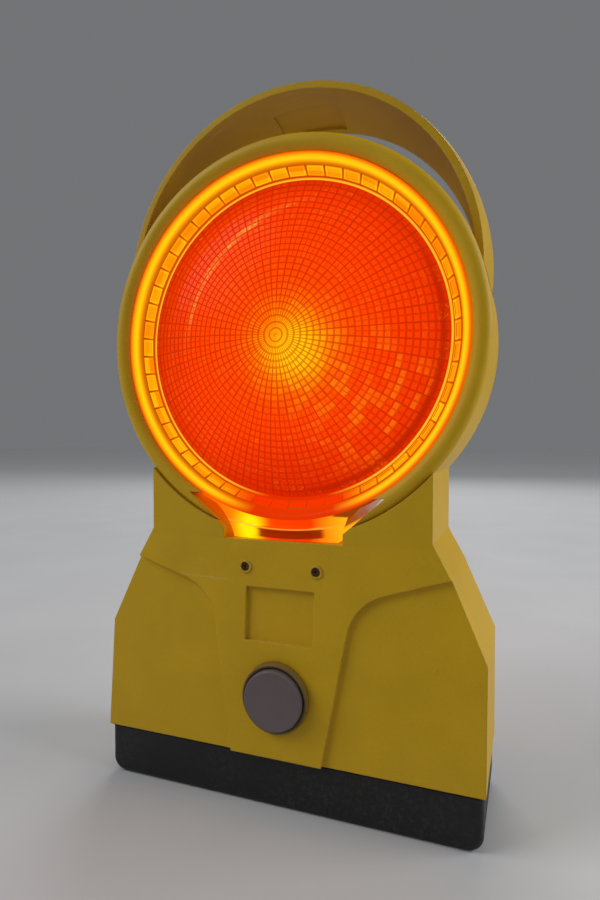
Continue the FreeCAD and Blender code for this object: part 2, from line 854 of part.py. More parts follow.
def neck_way(y1):
    """Gap at the foot of a ring round the lens, for the lens neck."""
    return box(-notch_shoulder_half, notch_shoulder_half, front, y1, notch_foot,
               lens_height - lens_radius * neck_way_share)


def lens_seal():
    ring = lens_axis_rod(flange_radius, seat, seat + lens_seal_thick)
    ring = ring.cut(lens_axis_rod(lens_radius + loose, front, 0))
    return ring.cut([neck_way(0)] + ring_posts(front, 0, ring_post_radius + gap))


def lens_spacer():
    """White ring that keeps the two lenses apart, open at the neck."""
    end = -seat - lens_seal_thick - flange_thick
    ring = lens_axis_rod(spacer_outer, -end, end)
    ring = ring.cut(lens_axis_rod(spacer_outer - spacer_wall, front, back))
    return ring.cut(neck_way(back))


def lens_screws():
    screws = []
    face = panel_y(lens_screw_z) - screw_ring_proud + head_sunk
    rear_head = back - head_thick - rear_head_sunk
    for x in both_sides(lens_screw_x):
        head = along_y(small_head - slip, x, lens_screw_z, face, face + head_thick)
        arms = [box(x - wide, x + wide, face, face + cross_deep,
                    lens_screw_z - high, lens_screw_z + high)
                for wide, high in ((cross_half, cross_arm), (cross_arm, cross_half))]
        shank = along_y(small_screw, x, lens_screw_z, face + head_thick,
                        small_screw_long - tab_front)
        screws.append(head.cut(arms).fuse(shank))
        head = along_y(small_head - slip, x, lens_screw_z, rear_head, rear_head + head_thick)
        shank = along_y(small_screw, x, lens_screw_z, tab_front - small_screw_long, rear_head)
        screws.append(head.fuse(shank))
    return group(screws)


# ---- light source

def led_mast():
    column = box(-mast_half, mast_half, -mast_thick / 2, mast_thick / 2, mast_foot, lens_height)
    lug_end = mast_lug_x + mast_end
    lug = box(-lug_end, lug_end, -mast_thick / 2, mast_thick / 2, mast_foot, mast_lug_top)
    head = lens_axis_rod(mast_head, -mast_thick / 2, mast_thick / 2)
    mast = joined([column, lug, head])
    holes = [along_y(small_screw + slip, x, mast_screw_z, front, back)
             for x in both_sides(mast_lug_x)]
    return mast.cut(holes)


def mast_screws():
    face = mast_thick / 2
    return group(along_y(pan_head, x, mast_screw_z, face, face + pan_thick).fuse(
        along_y(small_screw, x, mast_screw_z, -face - mast_screw_long, face))
        for x in both_sides(mast_lug_x))


def led_boards():
    near = lens_axis_rod(led_board_radius, -mast_thick / 2 - board_thick, -mast_thick / 2)
    return group([near, turned_round(near)])


def leds():
    """One light-emitting diode in the middle of each board and a ring round it."""
    face = -mast_thick / 2 - board_thick
    places = [(0.0, 0.0)]
    for i in range(leds_in_ring):
        turn = 2 * math.pi * i / leds_in_ring
        places.append((led_ring * math.cos(turn), led_ring * math.sin(turn)))
    near = []
    for x, z in places:
        stem = along_y(led_radius, x, lens_height + z, face - led_height, face)
        tip = Part.makeSphere(led_radius, V(x, face - led_height, lens_height + z))
        near.append(stem.fuse(tip))
    return group(near + [turned_round(led) for led in near])


def light_sensor():
    z = lens_height - mast_head - sensor_drop
    return along_y(sensor_radius, 0, z, -mast_thick / 2 - sensor_long, -mast_thick / 2)


# ---- control electronics

def control_board():
    board = box(-board_half, board_half, board_y, board_y + board_thick, board_foot, board_top)
    return board.cut([along_y(small_screw + slip, x, z, front, 0)
                      for x, z in board_post_places()])


def board_screws():
    face = board_y + board_thick
    return group(along_y(pan_head, x, z, face, face + pan_thick).fuse(
        along_y(small_screw, x, z, board_y - small_screw_long, face))
        for x, z in board_post_places())


def board_parts():
    face = board_y + board_thick
    chip = box(-8, 8, face, face + 1.8, 78, 84)
    driver = box(16, 26, face, face + 1.8, 78, 86)
    cans = [along_y(4.0, x, 90.0, face, face + 7.0) for x in (-26.0, -15.0)]
    sockets = [box(x, x + 10, face, face + 6.0, 88, 94) for x in (-5.0, 14.0)]
    return group([chip, driver] + cans + sockets)


def push_switch():
    body_front = board_y - switch_thick
    body = box(-switch_half, switch_half, body_front, board_y,
               button_z - switch_half, button_z + switch_half)
    plunger = along_y(plunger_radius, 0, button_z, body_front - plunger_long, body_front)
    return body.fuse(plunger)


stem_end = board_y - switch_thick - plunger_long - button_travel - gap


def button_cap():
    cap = along_y(button_radius, 0, button_z, button_front, button_front + button_thick)
    edge = [e for e in cap.Edges if abs(e.CenterOfMass.y - button_front) < touch]
    cap = cap.makeFillet(cap_round, edge[:1])
    cap_back = button_front + button_thick
    stem = along_y(stem_radius, 0, button_z, cap_back - lap, stem_end)
    pocket = along_y(stem_radius + spring_room, 0, button_z, cap_back - cap_floor, cap_back)
    pocket = pocket.cut(along_y(stem_radius, 0, button_z, far_front, 0))
    return cap.fuse(stem).removeSplitter().cut(pocket)


def button_collar():
    outer = button_radius + gap + collar_wall
    tube = along_y(outer, 0, button_z, collar_front, collar_back)
    flange = along_y(outer + collar_flange, 0, button_z, collar_back - collar_floor, collar_back)
    bore = along_y(button_radius + gap, 0, button_z, far_front, collar_back - collar_floor)
    step = along_y(button_radius + gap + collar_lip, 0, button_z, far_front,
                   collar_front + collar_lip_deep)
    stem_hole = along_y(stem_radius + gap, 0, button_z, far_front, 0)
    return tube.fuse(flange).cut([bore, step, stem_hole])


def coil(radius, wire, turns, low, high):
    """Helical spring standing on low, straight up Z from the origin."""
    height = high - low - 2 * wire
    helix = Part.makeHelix(height / turns, height, radius)
    section = Part.Wire(Part.makeCircle(wire, V(radius, 0, 0), V(0, 1, 0)))
    spring = Part.Wire(helix.Edges).makePipeShell([section], True, True)
    spring.translate(V(0, 0, low + wire))
    return spring


def button_spring():
    start = button_front + button_thick - cap_floor
    length = (collar_back - collar_floor) - start
    spring = coil(stem_radius + spring_out, spring_wire, spring_turns, spring_end,
                  length - spring_end)
    spring.rotate(V(0, 0, 0), V(1, 0, 0), -90)
    spring.translate(V(0, start, button_z))
    return spring


def button_seal():
    ring = along_y(stem_radius + button_seal_wall, 0, button_z, collar_back,
                   collar_back + button_seal_thick)
    return ring.cut(along_y(stem_radius + loose, 0, button_z, far_front, 0))


# ---- batteries

def cell_places():
    return [(-cell_x[1], 0), (-cell_x[0], 0), (cell_x[0], 0), (cell_x[1], 0)]


def battery_cells():
    top = cell_foot + cell_length
    cells = []
    for x, y in cell_places():
        can = upright(cell_radius, x, y, cell_foot, top)
        can = can.makeFillet(cell_round, [e for e in can.Edges if e.Closed])
        cells.append(can.fuse(upright(nub_radius, x, y, top, top + nub_height)))
    return group(cells)


def battery_tray():
    half = tray_half
    deep = tray_half_depth
    top = box(-half, half, -deep, deep, tray_z, tray_z + tray_thick)
    guide = box(-half, half, -deep, deep, tray_guide_z, tray_guide_z + tray_thick)
    guide = guide.cut([upright(cell_radius + cell_air, x, y, 0, tray_z)
                       for x, y in cell_places()])
    edge = deep - column_edge
    columns = [box(-column_half, column_half, -edge, -contact_half - gap, tray_guide_z, tray_z),
               box(-column_half, column_half, contact_half + gap, edge, tray_guide_z, tray_z)]
    for side in (-1, 1):
        x0, x1 = sorted((side * half, side * (half - tray_end)))
        columns.append(box(x0, x1, -edge, edge, tray_guide_z, tray_z))
    lugs = [box(x - lug_half, x + lug_half, -deep, -deep + tray_end, tray_z,
                tray_post_z + lug_half) for x in both_sides(tray_post_x)]
    tray = joined([top, guide] + columns + lugs)
    return tray.cut([along_y(small_screw + slip, x, tray_post_z, front, 0)
                     for x in both_sides(tray_post_x)])


def tray_screws():
    face = -tray_half_depth + tray_end
    return group(along_y(pan_head, x, tray_post_z, face, face + pan_thick).fuse(
        along_y(small_screw, x, tray_post_z, -tray_half_depth - small_screw_long, face))
        for x in both_sides(tray_post_x))


def top_contacts():
    z0 = tray_z - plate_thick
    wide = contact_half
    middle = box(-cell_x[0] - wide, cell_x[0] + wide, -wide, wide, z0, tray_z)
    ends = [box(x - wide, x + wide, -wide, wide, z0, tray_z) for x in both_sides(cell_x[1])]
    return group([middle] + ends)


def contact_bridges():
    """Plates in the cover that join each pair of cells."""
    wide = bridge_half
    right = box(cell_x[0] - wide, cell_x[1] + wide, -wide, wide, base_floor,
                base_floor + plate_thick)
    right = right.cut(upright(small_screw + slip, sum(cell_x) / 2, 0, 0, cell_foot))
    return group([right, mirrored(right)])


def bridge_screws():
    z = base_floor + plate_thick
    return group(upright(pan_head, x, 0, z, z + pan_thick).fuse(
        upright(small_screw, x, 0, bridge_screw_foot, z)) for x in both_sides(sum(cell_x) / 2))


def contact_springs():
    springs = []
    for x, y in cell_places():
        spring = coil(contact_coil, contact_wire, contact_turns, base_floor + plate_thick,
                      cell_foot - loose)
        spring.translate(V(x, y, 0))
        springs.append(spring)
    return group(springs)


# ---- leads held inside the case

def lead(points):
    """Round wire along straight runs joined by tangent arcs."""
    corners = [V(*point) for point in points]
    edges = []
    here = corners[0]
    for before, corner, after in zip(corners, corners[1:], corners[2:]):
        back_dir = (before - corner).normalize()
        on_dir = (after - corner).normalize()
        shorter = min((before - corner).Length, (after - corner).Length)
        reach = 0.45 * shorter
        start = corner + back_dir * reach
        end = corner + on_dir * reach
        half_turn = (math.pi - back_dir.getAngle(on_dir)) / 2
        radius = reach / math.tan(half_turn)
        bisector = (back_dir + on_dir).normalize()
        centre = corner + bisector * (radius / math.cos(half_turn))
        middle = centre - bisector * radius
        edges.append(Part.makeLine(here, start))
        edges.append(Part.Arc(start, middle, end).toShape())
        here = end
    edges.append(Part.makeLine(here, corners[-1]))
    path = Part.Wire(edges)
    section = Part.Wire(Part.makeCircle(lead_radius, corners[0], corners[1] - corners[0]))
    return path.makePipeShell([section], True, False)


def led_leads():
    """Two wires from the control board up the front of the mast to the near board."""
    face = board_y + board_thick + 6.0
    mast_y = -mast_thick / 2 - lead_radius - 0.4
    leads = []
    for side in (-1, 1):
        x = 19.0 + side * 2.5
        leads.append(lead([(x, face, 91), (x, face + 6, 93), (12 + side * 3, mast_y - 1, 106),
                           (side * 4.6, mast_y, 128),
                           (side * 4.6, mast_y, lens_height - led_board_radius - 2)]))
    return group(leads)


def battery_leads():
    """Wires from the end contacts over the tray to the control board."""
    face = board_y + board_thick + 6.0
    z = tray_z + tray_thick + lead_radius + 0.2
    leads = []
    for side in (-1, 1):
        x = side * 2.5
        leads.append(lead([(x, face, 91), (x + side * 1, face + 7, 92),
                           (side * 20, 4, z + 5), (side * 44, 8, z + 0.5),
                           (side * 66, 8, z)]))
    return group(leads)


# ---- carry strap

def strap_solid(shrink):
    """Barrel made through three half ellipses: front edge, crown and back edge."""
    middle = (strap_front + strap_back) / 2
    stations = ((strap_front, 0.0), (middle, strap_crown), (strap_back, -strap_back_draw))
    wires = []
    for y, swell in stations:
        oval = Part.Ellipse(V(0, y, strap_centre_z + strap_rise + swell - shrink),
                            V(strap_half + swell - shrink, y, strap_centre_z),
                            V(0, y, strap_centre_z))
        wires.append(Part.Wire(oval.toShape()))
    return Part.makeLoft(wires, True, False)


def foot_blocks(grow, x0, x1):
    """A block on each side, round the place where a foot of the strap goes in."""
    right = box(x0, x1, -foot_half_depth - grow, foot_half_depth + grow, foot_low - grow,
                foot_high + grow)
    return [right, mirrored(right)]


def foot_tongues():
    return foot_blocks(0, foot_in, foot_out)


def handle_screw_places():
    return [(side, y) for side in (-1, 1) for y in both_sides(foot_half_depth / 2)]


handle_screw_z = foot_low + handle_head_up


def side_rod(side, radius, y, z, x0, x1):
    low, high = sorted((side * x0, side * x1))
    return along_x(radius, y, z, low, high)


def handle():
    room = strap_solid(strap_thick)
    grip = strap_solid(strap_thick - grip_depth)
    sky = lens_height * 2
    grip = grip.common(box(-grip_half, grip_half, (strap_front + strap_back) / 2,
                           strap_back - grip_end, strap_centre_z, sky))
    above = box(-body_width, body_width, far_front, far_back, strap_foot, sky)
    strap = strap_solid(0).common(above)
    strap = strap.cut(lens_axis_rod(ring_radius, far_front, far_back))
    strap = strap.cut(room).cut(grip)
    holes = [side_rod(side, small_screw, y, handle_screw_z, foot_in - lap,
                      foot_out - handle_pilot_end)
             for side, y in handle_screw_places()]
    return joined([strap] + [foot.cut(holes) for foot in foot_tongues()])


def handle_clamps():
    """Plates inside the ring that pull the strap's feet tight."""
    half = foot_half_depth + foot_socket_wall - clamp_edge
    right = box(foot_in - clamp_thick, foot_in, -half, half, foot_low - clamp_low,
                handle_screw_z + clamp_over)
    holes = [side_rod(side, small_screw + slip, y, handle_screw_z, 0, foot_out)
             for side, y in handle_screw_places()]
    return group(plate.cut(holes) for plate in (right, mirrored(right)))


def handle_screws():
    seat_x = foot_in - clamp_thick
    return group(side_rod(side, handle_head, y, handle_screw_z, seat_x - handle_head_thick, seat_x).fuse(
        side_rod(side, small_screw, y, handle_screw_z, seat_x, foot_out - handle_screw_end))
        for side, y in handle_screw_places())


# ---- battery cover, hinge and lock

def base_outline(out_of, low):
    """Cover seen from the front: square shoulders, rounded bottom corners."""
    half = half_base - out_of
    r = base_round - out_of
    slope = r * math.sqrt(0.5)
    right = [Part.makeLine(V(half, 0, base_top), V(half, 0, low + r)),
             Part.Arc(V(half, 0, low + r), V(half - r + slope, 0, low + r - slope),
                      V(half - r, 0, low)).toShape()]
    left = [mirrored(edge) for edge in right]
    ends = [Part.makeLine(V(half - r, 0, low), V(r - half, 0, low)),
            Part.makeLine(V(-half, 0, base_top), V(half, 0, base_top))]
    return Part.Face(Part.Wire(Part.__sortEdges__(right + left + ends)))


def base_cover():
    outer = base_outline(0, 0).extrude(V(0, base_back - base_front, 0))
    outer.translate(V(0, base_front, 0))
    low_edges = [e for e in outer.Edges
                 if min(abs(e.CenterOfMass.y - base_front), abs(e.CenterOfMass.y - base_back)) < touch
                 and e.CenterOfMass.z < base_top - touch]
    outer = outer.makeFillet(base_edge_round, low_edges)
    inner = base_outline(base_wall, base_floor).extrude(
        V(0, base_back - base_front - 2 * base_wall, 0))
    inner.translate(V(0, base_front + base_wall, 0))
    shell = outer.cut(inner)
    lock_room = box(-lock_boss, lock_boss, base_front + lap, 0, 0, lock_boss_top)
    bosses = [upright(socket_boss, 0, 0, lap, socket_depth + base_floor),
              upright(lock_boss, 0, lock_y, lap, lock_boss_top).common(lock_room)]
    webs = []
    for side in (-1, 1):
        x0, x1 = knuckle_spans(side)[1]
        webs.append(hinge_barrel(knuckle_radius, x0, x1))
        webs.append(box(x0, x1, base_back - lap, hinge_y, hinge_z - knuckle_radius, base_top))
    shell = joined([shell] + bosses + webs)
    cuts = [upright(socket_radius + socket_wall, 0, 0, -lap, socket_depth),
            upright(lock_radius + slip, 0, lock_y, -lap, base_height),
            upright(lock_head + slip * 2, 0, lock_y, -lap, base_floor + loose),
            hinge_barrel(pin_radius + slip, -half_body, half_body)]
    cuts += [upright(small_screw, x, 0, bridge_screw_foot, base_height)
             for x in both_sides(sum(cell_x) / 2)]
    return shell.cut(cuts)


def base_seal():
    """Flat rubber frame on top of the cover's walls."""
    outer = box(gap - half_base, half_base - gap, base_front + gap, base_back - gap,
                base_top, base_top + seal_thick)
    inner = box(-half_base + base_wall, half_base - base_wall, base_front + base_wall,
                base_back - base_wall, base_top - lap, base_height + lap)
    return outer.cut(inner)


def hinge_pins():
    pins = []
    for side in (-1, 1):
        ends = knuckle_spans(side)[0]
        pins.append(hinge_barrel(pin_radius, ends[0][0] - pin_proud, ends[1][1] + pin_proud))
    return group(pins)


def mount_sleeve():
    sleeve = upright(socket_radius + socket_wall, 0, 0, 0, socket_depth)
    return sleeve.cut(upright(socket_radius, 0, 0, -lap, socket_depth - socket_floor))


lock_low = 1.0
finger_z = base_height + rim_thick + finger_air


def lock_barrel():
    barrel = joined([upright(lock_radius, 0, lock_y, lock_low, lock_boss_top - lock_end),
                     upright(lock_head, 0, lock_y, lock_low, base_floor),
                     upright(lock_neck, 0, lock_y, lock_low + lap, finger_z),
                     upright(finger_bore, 0, lock_y, finger_z - lap,
                             finger_z + finger_thick)])
    corners = []
    reach = key_side / math.sqrt(3)
    for degrees in (90, 210, 330):
        turn = math.radians(degrees)
        corners.append((reach * math.cos(turn), lock_y + reach * math.sin(turn), lock_low - lap))
    socket = polygon(corners).extrude(V(0, 0, key_depth))
    return barrel.cut(socket)


def lock_clip():
    low = lock_boss_top + lock_end
    clip = upright(lock_radius + clip_wide, 0, lock_y, low, low + clip_thick)
    return clip.cut(upright(lock_neck, 0, lock_y, 0, lens_height))


def lock_finger():
    finger = box(-finger_long / 2, finger_long / 2, lock_y - finger_wide / 2,
                 lock_y + finger_wide / 2, finger_z, finger_z + finger_thick)
    return finger.cut(upright(finger_bore, 0, lock_y, 0, lens_height))


def lock_screw():
    top = finger_z + finger_thick
    return upright(lock_screw_head, 0, lock_y, top, top + lock_screw_thick)


NODES = {
    "front_housing": front_housing,
    "rear_cover": rear_cover,
    "cover_seal": cover_seal_shape,
    "housing_screws": housing_screws,
    "front_lens": lens,
    "rear_lens": lambda: turned_round(lens()),
    "front_lens_seal": lens_seal,
    "rear_lens_seal": lambda: turned_round(lens_seal()),
    "lens_spacer": lens_spacer,
    "lens_screws": lens_screws,
    "led_mast": led_mast,
    "mast_screws": mast_screws,
    "led_boards": led_boards,
    "leds": leds,
    "light_sensor": light_sensor,
    "led_leads": led_leads,
    "control_board": control_board,
    "board_screws": board_screws,
    "board_parts": board_parts,
    "push_switch": push_switch,
    "button_cap": button_cap,
    "button_collar": button_collar,
    "button_spring": button_spring,
    "button_seal": button_seal,
    "handle": handle,
    "handle_clamps": handle_clamps,
    "handle_screws": handle_screws,
    "battery_tray": battery_tray,
    "tray_screws": tray_screws,
    "battery_cells": battery_cells,
    "top_contacts": top_contacts,
    "battery_leads": battery_leads,
    "base_cover": base_cover,
    "base_seal": base_seal,
    "hinge_pins": hinge_pins,
    "mount_sleeve": mount_sleeve,
    "contact_bridges": contact_bridges,
    "bridge_screws": bridge_screws,
    "contact_springs": contact_springs,
    "lock_barrel": lock_barrel,
    "lock_clip": lock_clip,
    "lock_finger": lock_finger,
    "lock_screw": lock_screw,
}

os.makedirs("parts", exist_ok=True)
for name, make in NODES.items():
    shape = make()
    shape.exportStep("parts/" + name + ".step")
    box_of = shape.BoundBox
    print("%-16s solids %d valid %s volume %9.1f  x %.1f %.1f  y %.1f %.1f  z %.1f %.1f" % (
        name, len(shape.Solids), shape.isValid(), shape.Volume, box_of.XMin, box_of.XMax,
        box_of.YMin, box_of.YMax, box_of.ZMin, box_of.ZMax))
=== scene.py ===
# %% [markdown]
# # Barricade warning light
#
# A road works lamp stands on the ground beside a barrier: a yellow moulded case, a round amber
# lens on each side, a carry strap over the top and a black battery cover underneath. The solid
# parts come ready from the CAD model. This lesson gives them their finishes, and makes the parts
# whose shape follows a rule, such as the lens prisms and the screws.

# %% Load the solid parts
import math

import bmesh
import bpy
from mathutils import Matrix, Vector


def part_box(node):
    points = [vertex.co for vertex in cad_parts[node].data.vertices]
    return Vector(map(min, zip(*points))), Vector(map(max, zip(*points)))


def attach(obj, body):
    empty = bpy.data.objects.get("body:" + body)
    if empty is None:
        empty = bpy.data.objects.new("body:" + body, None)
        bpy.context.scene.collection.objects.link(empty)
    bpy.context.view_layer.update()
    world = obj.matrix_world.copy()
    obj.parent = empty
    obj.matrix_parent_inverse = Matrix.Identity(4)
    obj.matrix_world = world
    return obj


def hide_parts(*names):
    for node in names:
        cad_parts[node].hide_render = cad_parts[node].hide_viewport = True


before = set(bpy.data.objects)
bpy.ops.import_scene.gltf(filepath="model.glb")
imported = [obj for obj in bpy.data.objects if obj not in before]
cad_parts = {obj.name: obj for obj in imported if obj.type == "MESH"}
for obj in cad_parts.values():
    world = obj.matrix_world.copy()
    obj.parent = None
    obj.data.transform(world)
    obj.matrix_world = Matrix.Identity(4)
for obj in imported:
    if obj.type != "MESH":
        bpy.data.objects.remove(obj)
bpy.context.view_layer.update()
MM = 0.001

# %% [markdown]
# ## Camera
#
# The lamp is seen from the height of its middle and from its right, quite close, with a wide
# lens. A close camera makes the near bottom corner look larger than the ring, as it does here.
# Setting the camera first means every later piece is judged from the right place.

# %% Camera at the object's right front
CAMERA_PLACE = Vector((113.81, -303.12, 182.47)) * MM
CAMERA_TURN = (math.radians(88.503), 0.0, math.radians(20.798))

camera_data = bpy.data.cameras.new("camera")
camera_data.sensor_width = 36.0
camera_data.lens = 24.16
camera_data.clip_start = 0.01
camera = bpy.data.objects.new("camera", camera_data)
camera.location = CAMERA_PLACE
camera.rotation_euler = CAMERA_TURN
bpy.context.scene.collection.objects.link(camera)
bpy.context.scene.camera = camera
bpy.context.scene.view_settings.view_transform = "Standard"
print("camera stands", round(CAMERA_PLACE.length, 3), "m from the foot of the lamp")

# %% [markdown]
# ## Floor and light
#
# A plain pale floor and soft light from large panels show shape without drawing attention. The
# lamp is switched on, so the panels are kept low: a lit lens only looks lit when the light round
# it is dimmer than the light in it.

# %% Floor
FLOOR_HALF = 6.0
FLOOR_DROP = 0.2 * MM         # just below the feet, so that the two never flicker

corners = [(x * FLOOR_HALF, y * FLOOR_HALF, -FLOOR_DROP)
           for x, y in ((-1, -1), (1, -1), (1, 1), (-1, 1))]
floor_mesh = bpy.data.meshes.new("floor")
floor_mesh.from_pydata(corners, [], [(0, 1, 2, 3)])
floor = bpy.data.objects.new("floor", floor_mesh)
bpy.context.scene.collection.objects.link(floor)
print("floor", 2 * FLOOR_HALF, "m across")

# %% Studio light
LAMP_MIDDLE = (0.0, 0.0, 0.18)
WORLD_GREY = (0.60, 0.62, 0.65, 1.0)
WORLD_POWER = 0.28


def light_panel(name, place, size, power):
    """A square soft light that faces the middle of the lamp."""
    data = bpy.data.lights.new(name, "AREA")
    data.size = size
    data.energy = power
    panel = bpy.data.objects.new(name, data)
    panel.location = place
    panel.rotation_euler = (Vector(LAMP_MIDDLE) - Vector(place)).to_track_quat("-Z", "Y").to_euler()
    bpy.context.scene.collection.objects.link(panel)
    return panel


light_panel("key_light", place=(-1.5, -0.9, 1.5), size=1.3, power=20.0)
light_panel("side_light", place=(1.5, 0.25, 0.9), size=1.1, power=16.0)
light_panel("back_light", place=(-0.3, 1.5, 1.3), size=1.2, power=12.0)

world = bpy.data.worlds.new("studio")
bpy.context.scene.world = world
world.use_nodes = True
background = world.node_tree.nodes["Background"]
background.inputs["Color"].default_value = WORLD_GREY
background.inputs["Strength"].default_value = WORLD_POWER
print("three light panels and a dim grey world")

# %% [markdown]
# ## Small helpers for node trees
#
# Materials and Geometry Nodes are both graphs of nodes. A few short helpers keep the graphs
# readable: they add a node and fill or link its inputs, do one step of arithmetic, step smoothly
# between two values, blend two colours, and start a shared group with named inputs and outputs.

# %% Node helpers
def fill(node, socket, value, tree):
    """Link value to the socket if it is a socket itself, otherwise store it there."""
    target = node.inputs[socket]
    if isinstance(value, bpy.types.NodeSocket):
        tree.links.new(value, target)
    else:
        target.default_value = value


def add(tree, kind, inputs=None, **settings):
    """Add a node, apply its settings, then fill its inputs."""
    node = tree.nodes.new(kind)
    for name, value in settings.items():
        setattr(node, name, value)
    for socket, value in (inputs or {}).items():
        fill(node, socket, value, tree)
    return node


def calc(tree, operation, *values, clamp=False):
    """One step of arithmetic; gives the socket with the result."""
    node = add(tree, "ShaderNodeMath", operation=operation, use_clamp=clamp)
    for i, value in enumerate(values):
        fill(node, i, value, tree)
    return node.outputs[0]


def ramp_value(tree, value, low, high, start=0.0, end=1.0):
    """Smooth step from start to end while value goes from low to high."""
    node = add(tree, "ShaderNodeMapRange", interpolation_type="SMOOTHSTEP",
               inputs={"Value": value, "From Min": low, "From Max": high,
                       "To Min": start, "To Max": end})
    return node.outputs["Result"]


def mix(tree, share, first, second, blend="MIX"):
    """Blend two colours; gives the colour socket."""
    node = add(tree, "ShaderNodeMix", data_type="RGBA", blend_type=blend)
    for socket, value in ((0, share), (6, first), (7, second)):
        fill(node, socket, value, tree)
    return node.outputs[2]


def new_group(name, inputs, outputs, kind="ShaderNodeTree"):
    """A shared node group; inputs maps a name to (socket kind, value)."""
    tree = bpy.data.node_groups.new(name, kind)
    for label, (socket_kind, value) in inputs.items():
        socket = tree.interface.new_socket(label, in_out="INPUT", socket_type=socket_kind)
        if value is not None:
            socket.default_value = value
    for label, socket_kind in outputs.items():
        tree.interface.new_socket(label, in_out="OUTPUT", socket_type=socket_kind)
    return tree, tree.nodes.new("NodeGroupInput").outputs, tree.nodes.new("NodeGroupOutput")


WELD = 0.001 * MM           # points closer than this are one point
FLOAT = "NodeSocketFloat"
VECTOR = "NodeSocketVector"
print("node helpers ready")

# %% [markdown]
# ## Effects that several finishes share
#
# Moulded plastic is never perfectly even. It has a fine spark-eroded grain from the mould, edges
# that catch the light because they are slightly round and rubbed, dust that settles on faces that
# look up, and faint scuffs. Each effect is a node group, so that every finish can use it with
# strengths of its own.

# %% Fine moulded grain
grain, grain_in, grain_out = new_group(
    "moulded_grain", {"Grains per metre": (FLOAT, 1600.0), "Cloudiness": (FLOAT, 0.5)},
    {"Height": FLOAT, "Shade": FLOAT})
place = add(grain, "ShaderNodeTexCoord").outputs["Object"]
pits = add(grain, "ShaderNodeTexNoise", {"Vector": place, "Scale": grain_in["Grains per metre"],
                                         "Detail": 3.0, "Roughness": 0.62})
flecks = add(grain, "ShaderNodeTexVoronoi", {"Vector": place, "Scale": grain_in["Grains per metre"]})
clouds = add(grain, "ShaderNodeTexNoise", {"Vector": place, "Scale": 38.0, "Detail": 4.0})
fleck_height = calc(grain, "MULTIPLY", flecks.outputs["Distance"], 0.35)
height = calc(grain, "ADD", pits.outputs["Fac"], fleck_height)
cloud = calc(grain, "MULTIPLY", calc(grain, "SUBTRACT", clouds.outputs["Fac"], 0.5),
             grain_in["Cloudiness"])
grain.links.new(height, grain_out.inputs["Height"])
grain.links.new(calc(grain, "ADD", calc(grain, "MULTIPLY", pits.outputs["Fac"], 0.5), cloud),
                grain_out.inputs["Shade"])
print("group", grain.name)

# %% Rubbed edges
edges, edges_in, edges_out = new_group(
    "rubbed_edges", {"Edge Radius": (FLOAT, 0.0009), "Breakup": (FLOAT, 260.0)},
    {"Mask": FLOAT, "Normal": VECTOR})
place = add(edges, "ShaderNodeTexCoord").outputs["Object"]
rounded = add(edges, "ShaderNodeBevel", {"Radius": edges_in["Edge Radius"]}, samples=4)
flat = add(edges, "ShaderNodeNewGeometry").outputs["Normal"]
agree = add(edges, "ShaderNodeVectorMath", {0: rounded.outputs[0], 1: flat}, operation="DOT_PRODUCT")
turned = ramp_value(edges, agree.outputs["Value"], 0.998, 0.93)
patches = add(edges, "ShaderNodeTexNoise", {"Vector": place, "Scale": edges_in["Breakup"],
                                            "Detail": 5.0, "Roughness": 0.7})
patchy = ramp_value(edges, patches.outputs["Fac"], 0.42, 0.66)
edges.links.new(calc(edges, "MULTIPLY", turned, patchy), edges_out.inputs["Mask"])
edges.links.new(rounded.outputs[0], edges_out.inputs["Normal"])
print("group", edges.name)

# %% Settled dust
dust, dust_in, dust_out = new_group(
    "settled_dust", {"Splash Height": (FLOAT, 0.06)}, {"Mask": FLOAT})
place = add(dust, "ShaderNodeTexCoord").outputs["Object"]
up = add(dust, "ShaderNodeSeparateXYZ", {0: add(dust, "ShaderNodeNewGeometry").outputs["Normal"]})
lift = add(dust, "ShaderNodeSeparateXYZ", {0: place}).outputs["Z"]
facing_up = ramp_value(dust, up.outputs["Z"], 0.25, 0.95)
low_down = ramp_value(dust, lift, dust_in["Splash Height"], 0.0, 0.0, 0.8)
specks = add(dust, "ShaderNodeTexNoise", {"Vector": place, "Scale": 420.0, "Detail": 6.0,
                                          "Roughness": 0.75})
drift = add(dust, "ShaderNodeTexNoise", {"Vector": place, "Scale": 22.0, "Detail": 3.0})
speckled = calc(dust, "MULTIPLY", ramp_value(dust, specks.outputs["Fac"], 0.45, 0.72),
                ramp_value(dust, drift.outputs["Fac"], 0.35, 0.65))
dust.links.new(calc(dust, "MULTIPLY", calc(dust, "MAXIMUM", facing_up, low_down), speckled),
               dust_out.inputs["Mask"])
print("group", dust.name)

# %% Faint scuffs
scuffs, scuffs_in, scuffs_out = new_group(
    "faint_scuffs", {"Scuffs per metre": (FLOAT, 90.0)}, {"Mask": FLOAT})
place = add(scuffs, "ShaderNodeTexCoord").outputs["Object"]
slanted = add(scuffs, "ShaderNodeMapping", {"Vector": place, "Rotation": (0.3, 0.5, 0.9),
                                            "Scale": (0.12, 1.0, 1.0)})
lines = add(scuffs, "ShaderNodeTexNoise", {"Vector": slanted.outputs[0], "Detail": 6.0,
                                           "Scale": scuffs_in["Scuffs per metre"],
                                           "Roughness": 0.8})
where = add(scuffs, "ShaderNodeTexNoise", {"Vector": place, "Scale": 17.0, "Detail": 2.0})
thin = ramp_value(scuffs, lines.outputs["Fac"], 0.60, 0.68)
scuffs.links.new(calc(scuffs, "MULTIPLY", thin, ramp_value(scuffs, where.outputs["Fac"], 0.5, 0.6)),
                 scuffs_out.inputs["Mask"])
print("group", scuffs.name)

# %% [markdown]
# ## Finishes
#
# One function makes all the plain finishes, because plastic, rubber and steel differ mostly in
# colour, gloss and how coarse their surface is. What is the same all over a surface is stored in
# the shader's own sockets, and only what changes over it comes through nodes.

